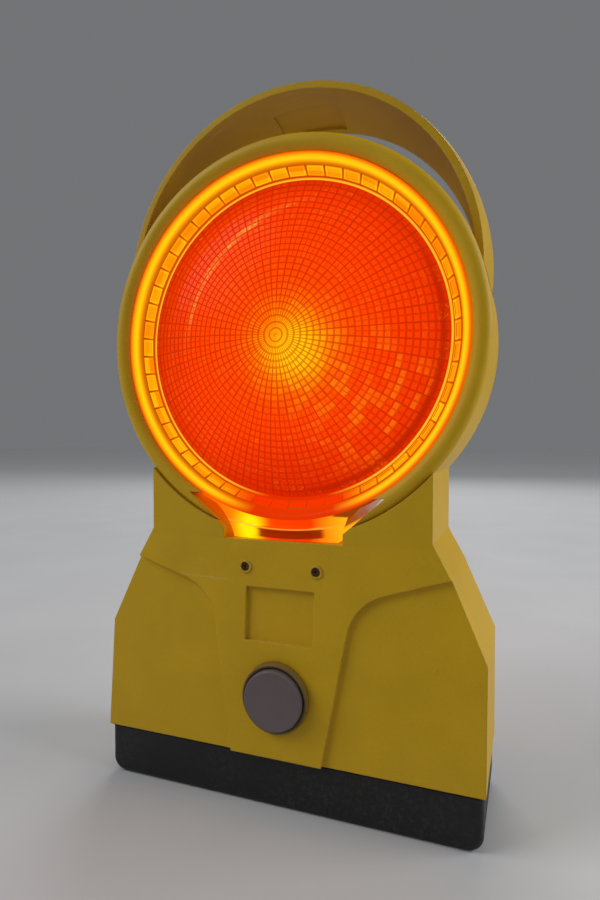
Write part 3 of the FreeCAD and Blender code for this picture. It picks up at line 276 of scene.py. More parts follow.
# %% One maker for plastic, rubber and metal
DUST_COLOUR = (0.42, 0.38, 0.31, 1.0)
GRAIN_DULLS = 0.25          # how far each effect raises the roughness
DUST_DULLS = 0.3
SCUFF_DULLS = 0.12
GRAIN_ROOM = 0.08           # taken off first, because the grain only adds


def shared(tree, group, **inputs):
    """Place a shared group in a material."""
    node = tree.nodes.new("ShaderNodeGroup")
    node.node_tree = group
    for label, value in inputs.items():
        fill(node, label.replace("_", " "), value, tree)
    return node


def finish(name, colour, rough, metallic=0.0, grains=1600.0, bump=0.00004, cloud=0.5, shade=0.35,
           worn=(0.5, 0.5, 0.5), wear=0.3, dusty=0.25, scuffed=0.2, edge=0.0009, shine=0.5):
    """A procedural finish: grain, colour variation, rubbed edges, dust and scuffs."""
    material = bpy.data.materials.new(name)
    material.use_nodes = True
    tree = material.node_tree
    shader = tree.nodes["Principled BSDF"]
    skin = shared(tree, grain, Grains_per_metre=grains, Cloudiness=cloud)
    rubbed = shared(tree, edges, Edge_Radius=edge)
    settled = shared(tree, dust)
    rubs = shared(tree, scuffs)
    dark = tuple(c * (1.0 - shade) for c in colour) + (1.0,)
    light = tuple(min(1.0, c * (1.0 + shade)) for c in colour) + (1.0,)
    base = mix(tree, skin.outputs["Shade"], dark, light)
    wear_share = calc(tree, "MULTIPLY", rubbed.outputs["Mask"], wear)
    base = mix(tree, wear_share, base, worn + (1.0,))
    scuff_share = calc(tree, "MULTIPLY", rubs.outputs["Mask"], scuffed)
    base = mix(tree, scuff_share, base, worn + (1.0,))
    dust_share = calc(tree, "MULTIPLY", settled.outputs["Mask"], dusty)
    base = mix(tree, dust_share, base, DUST_COLOUR)
    tree.links.new(base, shader.inputs["Base Color"])
    uneven = calc(tree, "MULTIPLY_ADD", skin.outputs["Shade"], GRAIN_DULLS, rough - GRAIN_ROOM)
    by_dust = calc(tree, "MULTIPLY", settled.outputs["Mask"], DUST_DULLS)
    by_scuffs = calc(tree, "MULTIPLY", rubs.outputs["Mask"], SCUFF_DULLS)
    dulled = calc(tree, "ADD", uneven, by_dust, clamp=True)
    tree.links.new(calc(tree, "ADD", dulled, by_scuffs), shader.inputs["Roughness"])
    bumped = add(tree, "ShaderNodeBump", {"Height": skin.outputs["Height"],
                                          "Normal": rubbed.outputs["Normal"],
                                          "Distance": bump, "Strength": 1.0})
    tree.links.new(bumped.outputs[0], shader.inputs["Normal"])
    shader.inputs["Metallic"].default_value = metallic
    shader.inputs["Specular IOR Level"].default_value = shine
    return material


def dress(material, *nodes):
    """Give solid parts this finish in their material slots."""
    for node in nodes:
        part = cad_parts[node]
        part.data.materials.clear()
        part.data.materials.append(material)

# %% The lamp's plain finishes
case_plastic = finish("yellow_case_plastic", (0.70, 0.42, 0.004), 0.5, bump=0.00005, shine=0.3,
                      worn=(0.80, 0.66, 0.28), wear=0.35, dusty=0.16, scuffed=0.16, shade=0.22)
strap_plastic = finish("yellow_strap_plastic", (0.66, 0.39, 0.004), 0.55, grains=1300.0, shine=0.25,
                       bump=0.00006, worn=(0.80, 0.64, 0.28), wear=0.45, scuffed=0.3, shade=0.25)
base_plastic = finish("black_base_plastic", (0.012, 0.012, 0.013), 0.5, bump=0.00007,
                      worn=(0.07, 0.07, 0.07), wear=0.4, dusty=0.10, scuffed=0.2, shine=0.35)
button_rubber = finish("mauve_grey_button", (0.17, 0.13, 0.135), 0.6, grains=2200.0,
                       bump=0.00003, worn=(0.36, 0.31, 0.31), wear=0.4, scuffed=0.1)
# The collar is the case's yellow plastic; its darker brown tint is painted shade.
shaded_collar_finish = finish("collar_yellow_plastic_painted_shade", (0.26, 0.17, 0.035), 0.5, grains=1900.0,
                        worn=(0.3, 0.28, 0.26))
seal_rubber = finish("black_seal_rubber", (0.016, 0.016, 0.016), 0.78, grains=2600.0,
                     bump=0.00002, wear=0.1, scuffed=0.0)
bright_steel = finish("zinc_plated_steel", (0.52, 0.51, 0.48), 0.3, metallic=1.0, grains=2400.0,
                      bump=0.00001, worn=(0.7, 0.69, 0.66), shade=0.15, dusty=0.1)
white_plastic = finish("white_inner_plastic", (0.66, 0.66, 0.63), 0.5, shade=0.06,
                       worn=(0.8, 0.8, 0.78), dusty=0.05)
grey_plastic = finish("grey_inner_plastic", (0.10, 0.10, 0.105), 0.55, shade=0.2)
green_board = finish("green_circuit_board", (0.012, 0.10, 0.035), 0.33, grains=900.0,
                     bump=0.00001, cloud=0.9, shade=0.5, wear=0.1)
chip_resin = finish("black_chip_resin", (0.02, 0.02, 0.022), 0.45, grains=3000.0, bump=0.00001)
led_resin = finish("amber_led_resin", (0.85, 0.42, 0.03), 0.12, grains=600.0, bump=0.000003,
                   wear=0.0, dusty=0.0)
cell_wrap = finish("copper_cell_wrap", (0.42, 0.17, 0.05), 0.28, metallic=0.7, grains=700.0,
                   bump=0.000008, shade=0.15, worn=(0.6, 0.55, 0.5))
red_wire = finish("red_wire_sleeve", (0.45, 0.02, 0.015), 0.4, grains=900.0, bump=0.000006,
                  wear=0.0)
# Lens screw steel: dark brown, darkened as painted shade, as if their heads sat in recesses.
screw_steel_painted_shade = finish("dark_screw_steel_painted_shade", (0.11, 0.055, 0.03), 0.55, metallic=0.6,
                       grains=2400.0, bump=0.00001, worn=(0.3, 0.2, 0.14), dusty=0.3)
spring_steel = finish("spring_steel", (0.45, 0.44, 0.42), 0.25, metallic=1.0, grains=1200.0,
                      bump=0.000004, worn=(0.6, 0.6, 0.58))

dress(case_plastic, "front_housing", "rear_cover")
dress(strap_plastic, "handle")
dress(base_plastic, "base_cover")
dress(button_rubber, "button_cap")
dress(shaded_collar_finish, "button_collar")
dress(seal_rubber, "cover_seal", "front_lens_seal", "rear_lens_seal", "button_seal", "base_seal")
dress(bright_steel, "handle_clamps", "hinge_pins", "mount_sleeve", "lock_barrel", "lock_clip",
      "lock_finger", "lock_screw", "contact_bridges", "top_contacts")
dress(spring_steel, "button_spring", "contact_springs")
dress(white_plastic, "lens_spacer", "led_mast")
dress(grey_plastic, "battery_tray", "push_switch")
dress(green_board, "led_boards", "control_board")
dress(chip_resin, "board_parts")
dress(led_resin, "leds", "light_sensor")
dress(cell_wrap, "battery_cells")
dress(red_wire, "led_leads", "battery_leads")
print("finishes:", len(bpy.data.materials))

# %% Floor finish
NEAR_DARK = (0.50, 0.50, 0.51, 1.0)
NEAR_LIGHT = (0.58, 0.58, 0.585, 1.0)
FAR_WHITE = (0.97, 0.97, 0.97, 1.0)
FADE_START, FADE_END = 0.7, 3.0     # metres from the lamp

floor_paint = bpy.data.materials.new("pale_floor")
floor_paint.use_nodes = True
tree = floor_paint.node_tree
place = add(tree, "ShaderNodeTexCoord").outputs["Object"]
mottle = add(tree, "ShaderNodeTexNoise", {"Vector": place, "Scale": 9.0, "Detail": 8.0})
near_paint = mix(tree, mottle.outputs["Fac"], NEAR_DARK, NEAR_LIGHT)
out_there = add(tree, "ShaderNodeVectorMath", {0: place}, operation="LENGTH").outputs["Value"]
faded = mix(tree, ramp_value(tree, out_there, FADE_START, FADE_END), near_paint, FAR_WHITE)
shader = tree.nodes["Principled BSDF"]
tree.links.new(faded, shader.inputs["Base Color"])
shader.inputs["Roughness"].default_value = 0.7
floor.data.materials.append(floor_paint)
print("floor finish ready")

# %% [markdown]
# ## The lit lens
#
# The lens is clear amber plastic with a lamp behind it. Its light could be left to real lamps and
# glass, but that is slow to settle and noisy. Here the amber plastic itself shines, and nodes
# decide where: a bright smooth rim, a band of blocks, a thin bright line, then the disc, red at
# its edge and yellow where the lamp stands behind it. Rays and rings cross the disc, and each
# little prism between them passes a little more or less light than the next one.

# %% Rings and rays
MAST_PAST_MIDDLE = 20.0 * MM      # top of the mast above the lens middle
LENS_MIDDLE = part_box("led_mast")[1].z - MAST_PAST_MIDDLE
RING_PITCH = 3.2 * MM
RAYS = 54
LINE_SHARE = 0.10
LINE_RADIUS = 35.0 * MM           # rays have the line share of their pitch out here
RAY_SHARE_MOST = 0.3

cells, cells_in, cells_out = new_group(
    "rings_and_rays",
    {"Middle Height": (FLOAT, LENS_MIDDLE), "Ring Pitch": (FLOAT, RING_PITCH),
     "Ray Count": (FLOAT, float(RAYS)), "Line Share": (FLOAT, LINE_SHARE)},
    {"Radius": FLOAT, "Across": FLOAT, "Up": FLOAT, "Lines": FLOAT, "Chance": FLOAT})
place = add(cells, "ShaderNodeSeparateXYZ",
            {0: add(cells, "ShaderNodeTexCoord").outputs["Object"]})
across = place.outputs["X"]
up = calc(cells, "SUBTRACT", place.outputs["Z"], cells_in["Middle Height"])
radius = calc(cells, "SQRT", calc(cells, "ADD", calc(cells, "MULTIPLY", across, across),
                                  calc(cells, "MULTIPLY", up, up)))
turn = calc(cells, "DIVIDE", calc(cells, "ARCTAN2", across, up), 2 * math.pi)
turn = calc(cells, "ADD", turn, 0.5)
ring = calc(cells, "DIVIDE", radius, cells_in["Ring Pitch"])
ray = calc(cells, "MULTIPLY", turn, cells_in["Ray Count"])


def near_line(tree, value, share):
    """1 on the line between two cells, 0 in the middle of a cell."""
    away = calc(tree, "ABSOLUTE", calc(tree, "SUBTRACT", calc(tree, "FRACT", value), 0.5))
    low = calc(tree, "SUBTRACT", 0.5, share)
    return ramp_value(tree, away, low, 0.5)


ray_share = calc(cells, "DIVIDE", calc(cells, "MULTIPLY", cells_in["Line Share"], LINE_RADIUS),
                 radius)
ray_share = calc(cells, "MINIMUM", ray_share, RAY_SHARE_MOST)
lines = calc(cells, "MAXIMUM", near_line(cells, ring, cells_in["Line Share"]),
             near_line(cells, ray, ray_share))
spot = add(cells, "ShaderNodeCombineXYZ", {0: calc(cells, "FLOOR", ring),
                                           1: calc(cells, "FLOOR", ray)})
chance = add(cells, "ShaderNodeTexWhiteNoise", {"Vector": spot.outputs[0]})
for label, socket in (("Radius", radius), ("Across", across), ("Up", up), ("Lines", lines),
                      ("Chance", chance.outputs["Value"])):
    cells.links.new(socket, cells_out.inputs[label])
print("group", cells.name, "with", RAYS, "rays")

# %% Places and colours on the lit lens
DISC_EDGE = 79.5 * MM
BAND_INNER, BAND_OUTER = 81.5 * MM, 85.5 * MM
BAND_SPILL = (1.5 * MM, 1.0 * MM)   # the band's light runs on past its inner and outer edge
RIM_OUTER = 90.5 * MM
CRISP = 0.1 * MM                    # width of a sharp change of colour
LENS_SHINE = 1.0
RAMP_REACH = 100.0 * MM             # places on a ramp are shares of this distance

# Glows: across and up from the lens middle, how far they reach, and an upright squeeze.
LAMP_GLOW = (9.0 * MM, -7.0 * MM, 36.0 * MM)
LAMP_CORE = (9.0 * MM, -7.0 * MM, 22.0 * MM)
BRIGHT_SQUARES = (42.0 * MM, -30.0 * MM, 48.0 * MM)
DIM_LEFT = (-84.0 * MM, 12.0 * MM, 58.0 * MM, 0.7)
# painted reflection: the side of the disc where its arc of sparkles shows
REFLECTION_ARC_SIDE = (-30.0 * MM, 40.0 * MM, 56.0 * MM)
DIM_FOOT = (0.0, -88.0 * MM, 70.0 * MM, 1.35)
RING_SIDE = (62.0 * MM, -34.0 * MM, 104.0 * MM)
BAND_FOOT = (5.0 * MM, -90.0 * MM, 60.0 * MM, 1.2)
RIM_FOOT = (5.0 * MM, -91.0 * MM, 54.0 * MM, 1.3)
# painted highlight: a bright pool on the neck's left
NECK_HIGHLIGHT_POOL = (-19.0 * MM, -94.5 * MM, 12.0 * MM, 0.62)

REFLECTION_ARC_MIDDLE = (25.3 * MM, -10.3 * MM)    # painted reflection: an arc of sparkles runs round this point
REFLECTION_ARC_RADIUS = 80.1 * MM
REFLECTION_ARC_HALF = 0.9 * MM
EDGE_RING = (75.6 * MM, 77.8 * MM, 0.8 * MM)    # a dark ring just inside the disc's edge

YELLOW = (1.0, 0.58, 0.004, 1.0)
LAMP_ORANGE = (1.0, 0.34, 0.002, 1.0)
SQUARE_ORANGE = (1.0, 0.24, 0.004, 1.0)
GLINT_ORANGE = (1.0, 0.24, 0.01, 1.0)
# colour of the painted reflection arc
REFLECTION_ARC_GOLD = (1.0, 0.50, 0.06, 1.0)
LEFT_RED = (0.45, 0.012, 0.0, 1.0)
FOOT_RED = (0.55, 0.006, 0.0, 1.0)
RING_RED = (0.30, 0.005, 0.0, 1.0)
SHADE_RED = (0.40, 0.010, 0.0, 1.0)
LINE_RED = (0.30, 0.008, 0.0, 1.0)
DISC_COLOURS = [(0.0, (1.0, 0.12, 0.0)), (0.22, (1.0, 0.060, 0.0)), (0.5, (0.96, 0.042, 0.0)),
                (0.70, (0.82, 0.030, 0.0)), (0.795, (0.55, 0.015, 0.0))]

BLOCK_ORANGE = (1.0, 0.30, 0.001, 1.0)
BLOCK_YELLOW = (1.0, 0.52, 0.004, 1.0)
BLOCK_RED = (0.80, 0.020, 0.0, 1.0)
BLOCK_SHADE = (0.42, 0.06, 0.0, 1.0)
RIM_RED = (0.62, 0.022, 0.0, 1.0)
RIM_COLOURS = [(0.0, (0.28, 0.03, 0.0)), (0.797, (0.5, 0.03, 0.0)), (0.800, (1.0, 0.55, 0.02)),
               (0.807, (1.0, 0.50, 0.02)), (0.811, (0.32, 0.02, 0.0)), (0.818, (0.6, 0.08, 0.0)),
               (0.852, (0.30, 0.05, 0.0)), (0.860, (0.9, 0.35, 0.004)),
               (0.868, (1.0, 0.66, 0.006)), (0.880, (1.0, 0.50, 0.004)),
               (0.889, (1.0, 0.20, 0.001)), (0.897, (0.62, 0.07, 0.0))]
print("lens middle is", round(LENS_MIDDLE, 4), "m up")

# %% Light shapes the lens colours are made from
def ramp(tree, value, stops):
    """Colour ramp; stops are (place, colour)."""
    node = add(tree, "ShaderNodeValToRGB", {0: value})
    marks = node.color_ramp.elements
    while len(marks) < len(stops):
        marks.new(1.0)
    for mark, (place, colour) in zip(marks, stops):
        mark.position = place
        mark.color = colour + (1.0,)
    return node.outputs["Color"]


def times(tree, *values, clamp=False):
    """Product of several values."""
    total = values[0]
    for value in values[1:]:
        total = calc(tree, "MULTIPLY", total, value, clamp=clamp)
    return total


def away_from(tree, grid, x, up, squeeze=1.0):
    """Distance from the point (x, up) on the lens."""
    dx = calc(tree, "SUBTRACT", grid.outputs["Across"], x)
    dz = times(tree, calc(tree, "SUBTRACT", grid.outputs["Up"], up), squeeze)
    return calc(tree, "SQRT", calc(tree, "ADD", times(tree, dx, dx), times(tree, dz, dz)))


def glow_at(tree, grid, x, up, reach, squeeze=1.0):
    """1 at the point (x, up) on the lens, falling to 0 at the distance reach."""
    return ramp_value(tree, away_from(tree, grid, x, up, squeeze), reach, 0.0)


def band_of(tree, value, low, high, soft):
    """1 where value is between low and high, with soft edges."""
    return times(tree, ramp_value(tree, value, low - soft, low),
                 ramp_value(tree, value, high + soft, high))


def in_shade(tree, relief, strength):
    """How much a sloping side is darkened; relief is 1 on a face that shines in full."""
    return times(tree, calc(tree, "SUBTRACT", 1.0, relief), strength)


print("light shapes ready")

# %% Colour of the disc, the band and the rim
FINE_GRAINS = 900.0         # specks per metre


def disc_light(tree, grid, relief):
    """Colour of the disc: rays, rings, single prisms, the lamp behind its middle and a painted
    reflection.
    """
    place = add(tree, "ShaderNodeTexCoord").outputs["Object"]
    fine = add(tree, "ShaderNodeTexNoise", {"Vector": place, "Scale": FINE_GRAINS, "Detail": 2.0,
                                            "Roughness": 0.7}).outputs["Fac"]
    glint = ramp_value(tree, fine, 0.50, 0.72)
    pick = ramp_value(tree, grid.outputs["Chance"], 0.35, 1.0)

    share = calc(tree, "DIVIDE", grid.outputs["Radius"], RAMP_REACH)
    light = ramp(tree, share, DISC_COLOURS)
    squares = times(tree, glow_at(tree, grid, *BRIGHT_SQUARES), pick, 0.55)
    light = mix(tree, squares, light, SQUARE_ORANGE)
    hot = times(tree, glow_at(tree, grid, *LAMP_GLOW),
                calc(tree, "MULTIPLY_ADD", pick, 0.6, 0.6), clamp=True)
    light = mix(tree, hot, light, LAMP_ORANGE)
    hotter = times(tree, glow_at(tree, grid, *LAMP_CORE), 1.25, clamp=True)
    light = mix(tree, hotter, light, YELLOW)

    left = times(tree, glow_at(tree, grid, *DIM_LEFT), ramp_value(tree, fine, 0.38, 0.6), 0.75)
    light = mix(tree, left, light, LEFT_RED)
    # Painted reflection: a gold arc of sparkles round the upper left of the disc.
    from_middle = away_from(tree, grid, *REFLECTION_ARC_MIDDLE)
    arc = band_of(tree, from_middle, REFLECTION_ARC_RADIUS - REFLECTION_ARC_HALF,
                  REFLECTION_ARC_RADIUS + REFLECTION_ARC_HALF, 1.6 * MM)
    arc_side = times(tree, glow_at(tree, grid, *REFLECTION_ARC_SIDE), 2.2, clamp=True)
    reflection_arc = times(tree, arc, arc_side, calc(tree, "MULTIPLY_ADD", glint, 0.9, 0.25),
                    calc(tree, "MULTIPLY_ADD", pick, 0.7, 0.5))
    light = mix(tree, reflection_arc, light, REFLECTION_ARC_GOLD)
    below = times(tree, glow_at(tree, grid, *DIM_FOOT), 0.85)
    light = mix(tree, below, light, FOOT_RED)
    ring_side = times(tree, glow_at(tree, grid, *RING_SIDE), 2.0, clamp=True)
    edge_ring = times(tree, band_of(tree, grid.outputs["Radius"], *EDGE_RING), ring_side, 0.7)
    light = mix(tree, edge_ring, light, RING_RED)

    light = mix(tree, times(tree, glint, pick, 0.35), light, GLINT_ORANGE)
    light = mix(tree, in_shade(tree, relief, 0.55), light, SHADE_RED)
    return mix(tree, times(tree, grid.outputs["Lines"], 0.55), light, LINE_RED)


def band_light(tree, grid, relief):
    """Colour of the block band: orange and yellow at the sides, deep red at the bottom."""
    patch = ramp_value(tree, grid.outputs["Chance"], 0.2, 0.9)
    light = mix(tree, patch, BLOCK_ORANGE, BLOCK_YELLOW)
    below = times(tree, glow_at(tree, grid, *BAND_FOOT), 1.7, clamp=True)
    light = mix(tree, below, light, BLOCK_RED)
    return mix(tree, in_shade(tree, relief, 0.9), light, BLOCK_SHADE)


def rim_light(tree, grid):
    """Colour of the smooth rim: yellow, falling to orange at the case."""
    share = calc(tree, "DIVIDE", grid.outputs["Radius"], RAMP_REACH)
    light = ramp(tree, share, RIM_COLOURS)
    below = times(tree, glow_at(tree, grid, *RIM_FOOT), 1.6, clamp=True)
    return mix(tree, below, light, RIM_RED)


print("band of blocks from", BAND_INNER, "to", BAND_OUTER, "m out")

# %% Colour of the neck
NECK_LEDGE = -94.5 * MM             # heights from the lens middle
NECK_FOOT = -99.6 * MM
NECK_TOP = -88.0 * MM
LEDGE_BOW = 3.0                     # its ends rise by this times the square of how far out they are
DARK_LEFT, DARK_RIGHT = -11.0 * MM, 19.0 * MM   # ends of the painted shade band under the ledge
SHOULDER = (23.0 * MM, 27.0 * MM)   # across: where the dark right shoulder starts
LIT_END = 28.0 * MM                 # right end of the lit part, at the foot
LIT_END_LEAN = 0.37
# painted highlights on the neck and along its ledge, and painted shade under the ledge
NECK_HIGHLIGHT_YELLOW = (1.0, 0.86, 0.002, 1.0)
LEDGE_HIGHLIGHT_GOLD = (1.0, 0.42, 0.04, 1.0)
LEDGE_SHADE_RED = (0.16, 0.006, 0.0, 1.0)
UNLIT_NECK = (0.14, 0.012, 0.002, 1.0)
NECK_COLOURS = [(0.05, (0.95, 0.10, 0.0)), (0.22, (1.0, 0.24, 0.001)),
                (0.45, (0.92, 0.05, 0.0)), (0.64, (0.80, 0.040, 0.0)),
                (0.72, (1.0, 0.26, 0.003)), (0.80, (1.0, 0.46, 0.008))]


def neck_light(tree, grid):
    """Colour of the neck under the lens: a painted highlight at its left, painted shade under its
    ledge.
    """
    across, up = grid.outputs["Across"], grid.outputs["Up"]
    light = ramp(tree, calc(tree, "MULTIPLY_ADD", across, 1.0 / RAMP_REACH, 0.5), NECK_COLOURS)
    # Painted highlight: a yellow pool on the neck's left.
    pool = times(tree, glow_at(tree, grid, *NECK_HIGHLIGHT_POOL), 1.15, clamp=True)
    light = mix(tree, pool, light, NECK_HIGHLIGHT_YELLOW)

    # Painted shade in a band under the ledge, and a painted highlight along the ledge's edge.
    level = calc(tree, "ADD", up, times(tree, across, across, -LEDGE_BOW))
    inside = band_of(tree, across, DARK_LEFT, DARK_RIGHT, 4.0 * MM)
    under = band_of(tree, level, NECK_FOOT + 0.8 * MM, NECK_LEDGE - 0.6 * MM, 0.9 * MM)
    light = mix(tree, times(tree, inside, under, 0.92), light, LEDGE_SHADE_RED)
    edge = band_of(tree, level, NECK_LEDGE - 0.2 * MM, NECK_LEDGE + 0.25 * MM, 0.3 * MM)
    light = mix(tree, times(tree, edge, 0.6), light, LEDGE_HIGHLIGHT_GOLD)

    lean = calc(tree, "MULTIPLY_ADD", up, -LIT_END_LEAN, LIT_END_LEAN * NECK_FOOT)
    past_end = ramp_value(tree, calc(tree, "ADD", across, lean), LIT_END, LIT_END + 0.6 * MM)
    above = times(tree, ramp_value(tree, up, NECK_TOP, NECK_TOP + MM),
                  ramp_value(tree, across, *SHOULDER))
    dark = calc(tree, "MAXIMUM", past_end, above)
    return mix(tree, times(tree, dark, 0.93), light, UNLIT_NECK)


print("neck runs from", round(-NECK_TOP, 4), "to", round(-NECK_FOOT, 4), "m below the lens middle")

# %% Lit amber plastic
AMBER = (0.30, 0.03, 0.001, 1.0)
AMBER_GLOSS = (1.0, 0.55, 0.25, 1.0)
RIPPLES = 300.0                     # per metre
RIPPLE_HEIGHT = 0.03 * MM
FACE_UP_LIGHT = 0.45                # extra light on faces that look up


def lit_amber(name, relief_name=None):
    """Amber plastic with the lamp behind it. Raised shapes carry their own light attribute."""
    material = bpy.data.materials.new(name)
    material.use_nodes = True
    tree = material.node_tree
    shader = tree.nodes["Principled BSDF"]
    grid = shared(tree, cells)
    relief = 1.0
    if relief_name:
        stored = add(tree, "ShaderNodeAttribute", attribute_name=relief_name).outputs["Fac"]
        facing = add(tree, "ShaderNodeNewGeometry").outputs["True Normal"]
        turned_up = add(tree, "ShaderNodeSeparateXYZ", {0: facing}).outputs["Z"]
        relief = calc(tree, "ADD", stored,
                      ramp_value(tree, turned_up, 0.0, 0.6, 0.0, FACE_UP_LIGHT), clamp=True)
    radius = grid.outputs["Radius"]
    light = mix(tree, ramp_value(tree, radius, DISC_EDGE, DISC_EDGE + CRISP),
                disc_light(tree, grid, relief), rim_light(tree, grid))
    if relief_name:
        on_band = band_of(tree, radius, BAND_INNER - BAND_SPILL[0], BAND_OUTER + BAND_SPILL[1],
                          CRISP)
        light = mix(tree, on_band, light, band_light(tree, grid, relief))
    light = mix(tree, ramp_value(tree, radius, RIM_OUTER - 0.4 * MM, RIM_OUTER), light,
                neck_light(tree, grid))
    tree.links.new(light, shader.inputs["Emission Color"])
    shader.inputs["Emission Strength"].default_value = LENS_SHINE
    shader.inputs["Base Color"].default_value = AMBER
    shader.inputs["Specular IOR Level"].default_value = 0.05
    shader.inputs["Specular Tint"].default_value = AMBER_GLOSS
    place = add(tree, "ShaderNodeTexCoord").outputs["Object"]
    ripple = add(tree, "ShaderNodeTexNoise", {"Vector": place, "Scale": RIPPLES}).outputs["Fac"]
    tree.links.new(calc(tree, "MULTIPLY_ADD", ripple, 0.12, 0.14), shader.inputs["Roughness"])
    bumped = add(tree, "ShaderNodeBump", {"Height": ripple, "Distance": RIPPLE_HEIGHT})
    tree.links.new(bumped.outputs[0], shader.inputs["Normal"])
    return material


lit_lens = lit_amber("lit_amber_lens")
lit_relief = lit_amber("lit_amber_relief", "lit")
dress(lit_lens, "front_lens", "rear_lens")
print("lit finishes:", lit_lens.name, lit_relief.name)

# %% [markdown]
# ## Lens prisms in Geometry Nodes
#
# The disc is covered in small prisms in rings, each one a block with sloping sides. Drawing
# thousands of them by hand would be slow and uneven. They follow a rule, so Geometry Nodes bends a
# flat grid into a shallow dome, then pulls up every square of it and shrinks its top. The sizes
# are inputs, so the zones near the middle, with few rays, and the outer one, with twice as many,
# come from the same tree.

# %% Tree that makes a ring of prisms on a dome
def new_shape_tree(name, inputs):
    """A Geometry Nodes tree with named inputs and one Geometry output."""
    tree, given, result = new_group(name, inputs, {"Geometry": "NodeSocketGeometry"},
                                    kind="GeometryNodeTree")
    return tree, given, result


def end_tree(tree, geometry, material, result):
    """Realize Instances, then Set Material, then the tree's output."""
    real = add(tree, "GeometryNodeRealizeInstances", {0: geometry})
    painted = add(tree, "GeometryNodeSetMaterial", {"Geometry": real.outputs[0],
                                                    "Material": material})
    tree.links.new(painted.outputs[0], result.inputs["Geometry"])


INT = "NodeSocketInt"
MATERIAL = "NodeSocketMaterial"
GEOMETRY = "NodeSocketGeometry"

domes, domes_in, domes_out = new_shape_tree("prism_dome", {
    "Sectors": (INT, 2 * RAYS), "Rings": (INT, 13), "Inner Radius": (FLOAT, 38.0 * MM),
    "Outer Radius": (FLOAT, DISC_EDGE), "Dome Radius": (FLOAT, 175.8 * MM),
    "Apex": (FLOAT, -36.0 * MM), "Middle Height": (FLOAT, LENS_MIDDLE),
    "Prism Height": (FLOAT, 0.4 * MM), "Top Share": (FLOAT, 0.72),
    "Backing": (FLOAT, 0.6 * MM), "Material": (MATERIAL, None)})
# Past the last ring, three more rows close the body: down behind the disc's edge, inwards
# along its back, and up to the first ring.
rows = calc(domes, "ADD", domes_in["Rings"], 3.0)
grid = add(domes, "GeometryNodeMeshGrid", {
    "Size X": 1.0, "Size Y": 1.0, "Vertices X": calc(domes, "ADD", domes_in["Sectors"], 1.0),
    "Vertices Y": calc(domes, "ADD", rows, 1.0)})
flat = add(domes, "ShaderNodeSeparateXYZ", {0: add(domes, "GeometryNodeInputPosition").outputs[0]})
turn = calc(domes, "MULTIPLY", calc(domes, "ADD", flat.outputs["X"], 0.5), 2 * math.pi)
row = calc(domes, "MULTIPLY", calc(domes, "ADD", flat.outputs["Y"], 0.5), rows)
row = calc(domes, "ROUND", row)
named = add(domes, "GeometryNodeStoreNamedAttribute", {
    "Geometry": grid.outputs["Mesh"], "Name": "row", "Value": row}, data_type="FLOAT")
out_share = calc(domes, "DIVIDE", row, domes_in["Rings"], clamp=True)
past_edge = calc(domes, "GREATER_THAN", row, calc(domes, "ADD", domes_in["Rings"], 1.5))
out_share = calc(domes, "MULTIPLY", out_share, calc(domes, "SUBTRACT", 1.0, past_edge))
width = calc(domes, "SUBTRACT", domes_in["Outer Radius"], domes_in["Inner Radius"])
radius = calc(domes, "MULTIPLY_ADD", out_share, width, domes_in["Inner Radius"])
behind = calc(domes, "GREATER_THAN", row, calc(domes, "ADD", domes_in["Rings"], 0.5))
last = calc(domes, "GREATER_THAN", row, calc(domes, "ADD", domes_in["Rings"], 2.5))
behind = calc(domes, "SUBTRACT", behind, last)
square = calc(domes, "MULTIPLY", domes_in["Dome Radius"], domes_in["Dome Radius"])
drop = calc(domes, "SUBTRACT", domes_in["Dome Radius"], calc(
    domes, "SQRT", calc(domes, "SUBTRACT", square, calc(domes, "MULTIPLY", radius, radius))))
depth = calc(domes, "ADD", calc(domes, "ADD", domes_in["Apex"], drop),
             calc(domes, "MULTIPLY", behind, domes_in["Backing"]))
bent = add(domes, "ShaderNodeCombineXYZ", {
    0: calc(domes, "MULTIPLY", calc(domes, "SINE", turn), radius), 1: depth,
    2: calc(domes, "MULTIPLY_ADD", calc(domes, "COSINE", turn), radius,
            domes_in["Middle Height"])})
curved = add(domes, "GeometryNodeSetPosition", {"Geometry": named.outputs[0],
                                                "Position": bent.outputs[0]})
row_read = add(domes, "GeometryNodeInputNamedAttribute", {"Name": "row"}, data_type="FLOAT")
in_front = calc(domes, "LESS_THAN", row_read.outputs[0], domes_in["Rings"])
pulled = add(domes, "GeometryNodeExtrudeMesh", {
    "Mesh": curved.outputs[0], "Selection": in_front, "Offset Scale": domes_in["Prism Height"],
    "Individual": True}, mode="FACES")
shrunk = add(domes, "GeometryNodeScaleElements", {
    "Geometry": pulled.outputs["Mesh"], "Selection": pulled.outputs["Top"],
    "Scale": domes_in["Top Share"]}, domain="FACE")
topped = add(domes, "GeometryNodeStoreNamedAttribute", {
    "Geometry": shrunk.outputs[0], "Selection": pulled.outputs["Top"], "Name": "lit",
    "Value": 1.0}, data_type="FLOAT", domain="FACE")
welded = add(domes, "GeometryNodeMergeByDistance", {"Geometry": topped.outputs[0],
                                                    "Distance": 2 * WELD})
end_tree(domes, welded.outputs[0], domes_in["Material"], domes_out)
print("tree", domes.name)

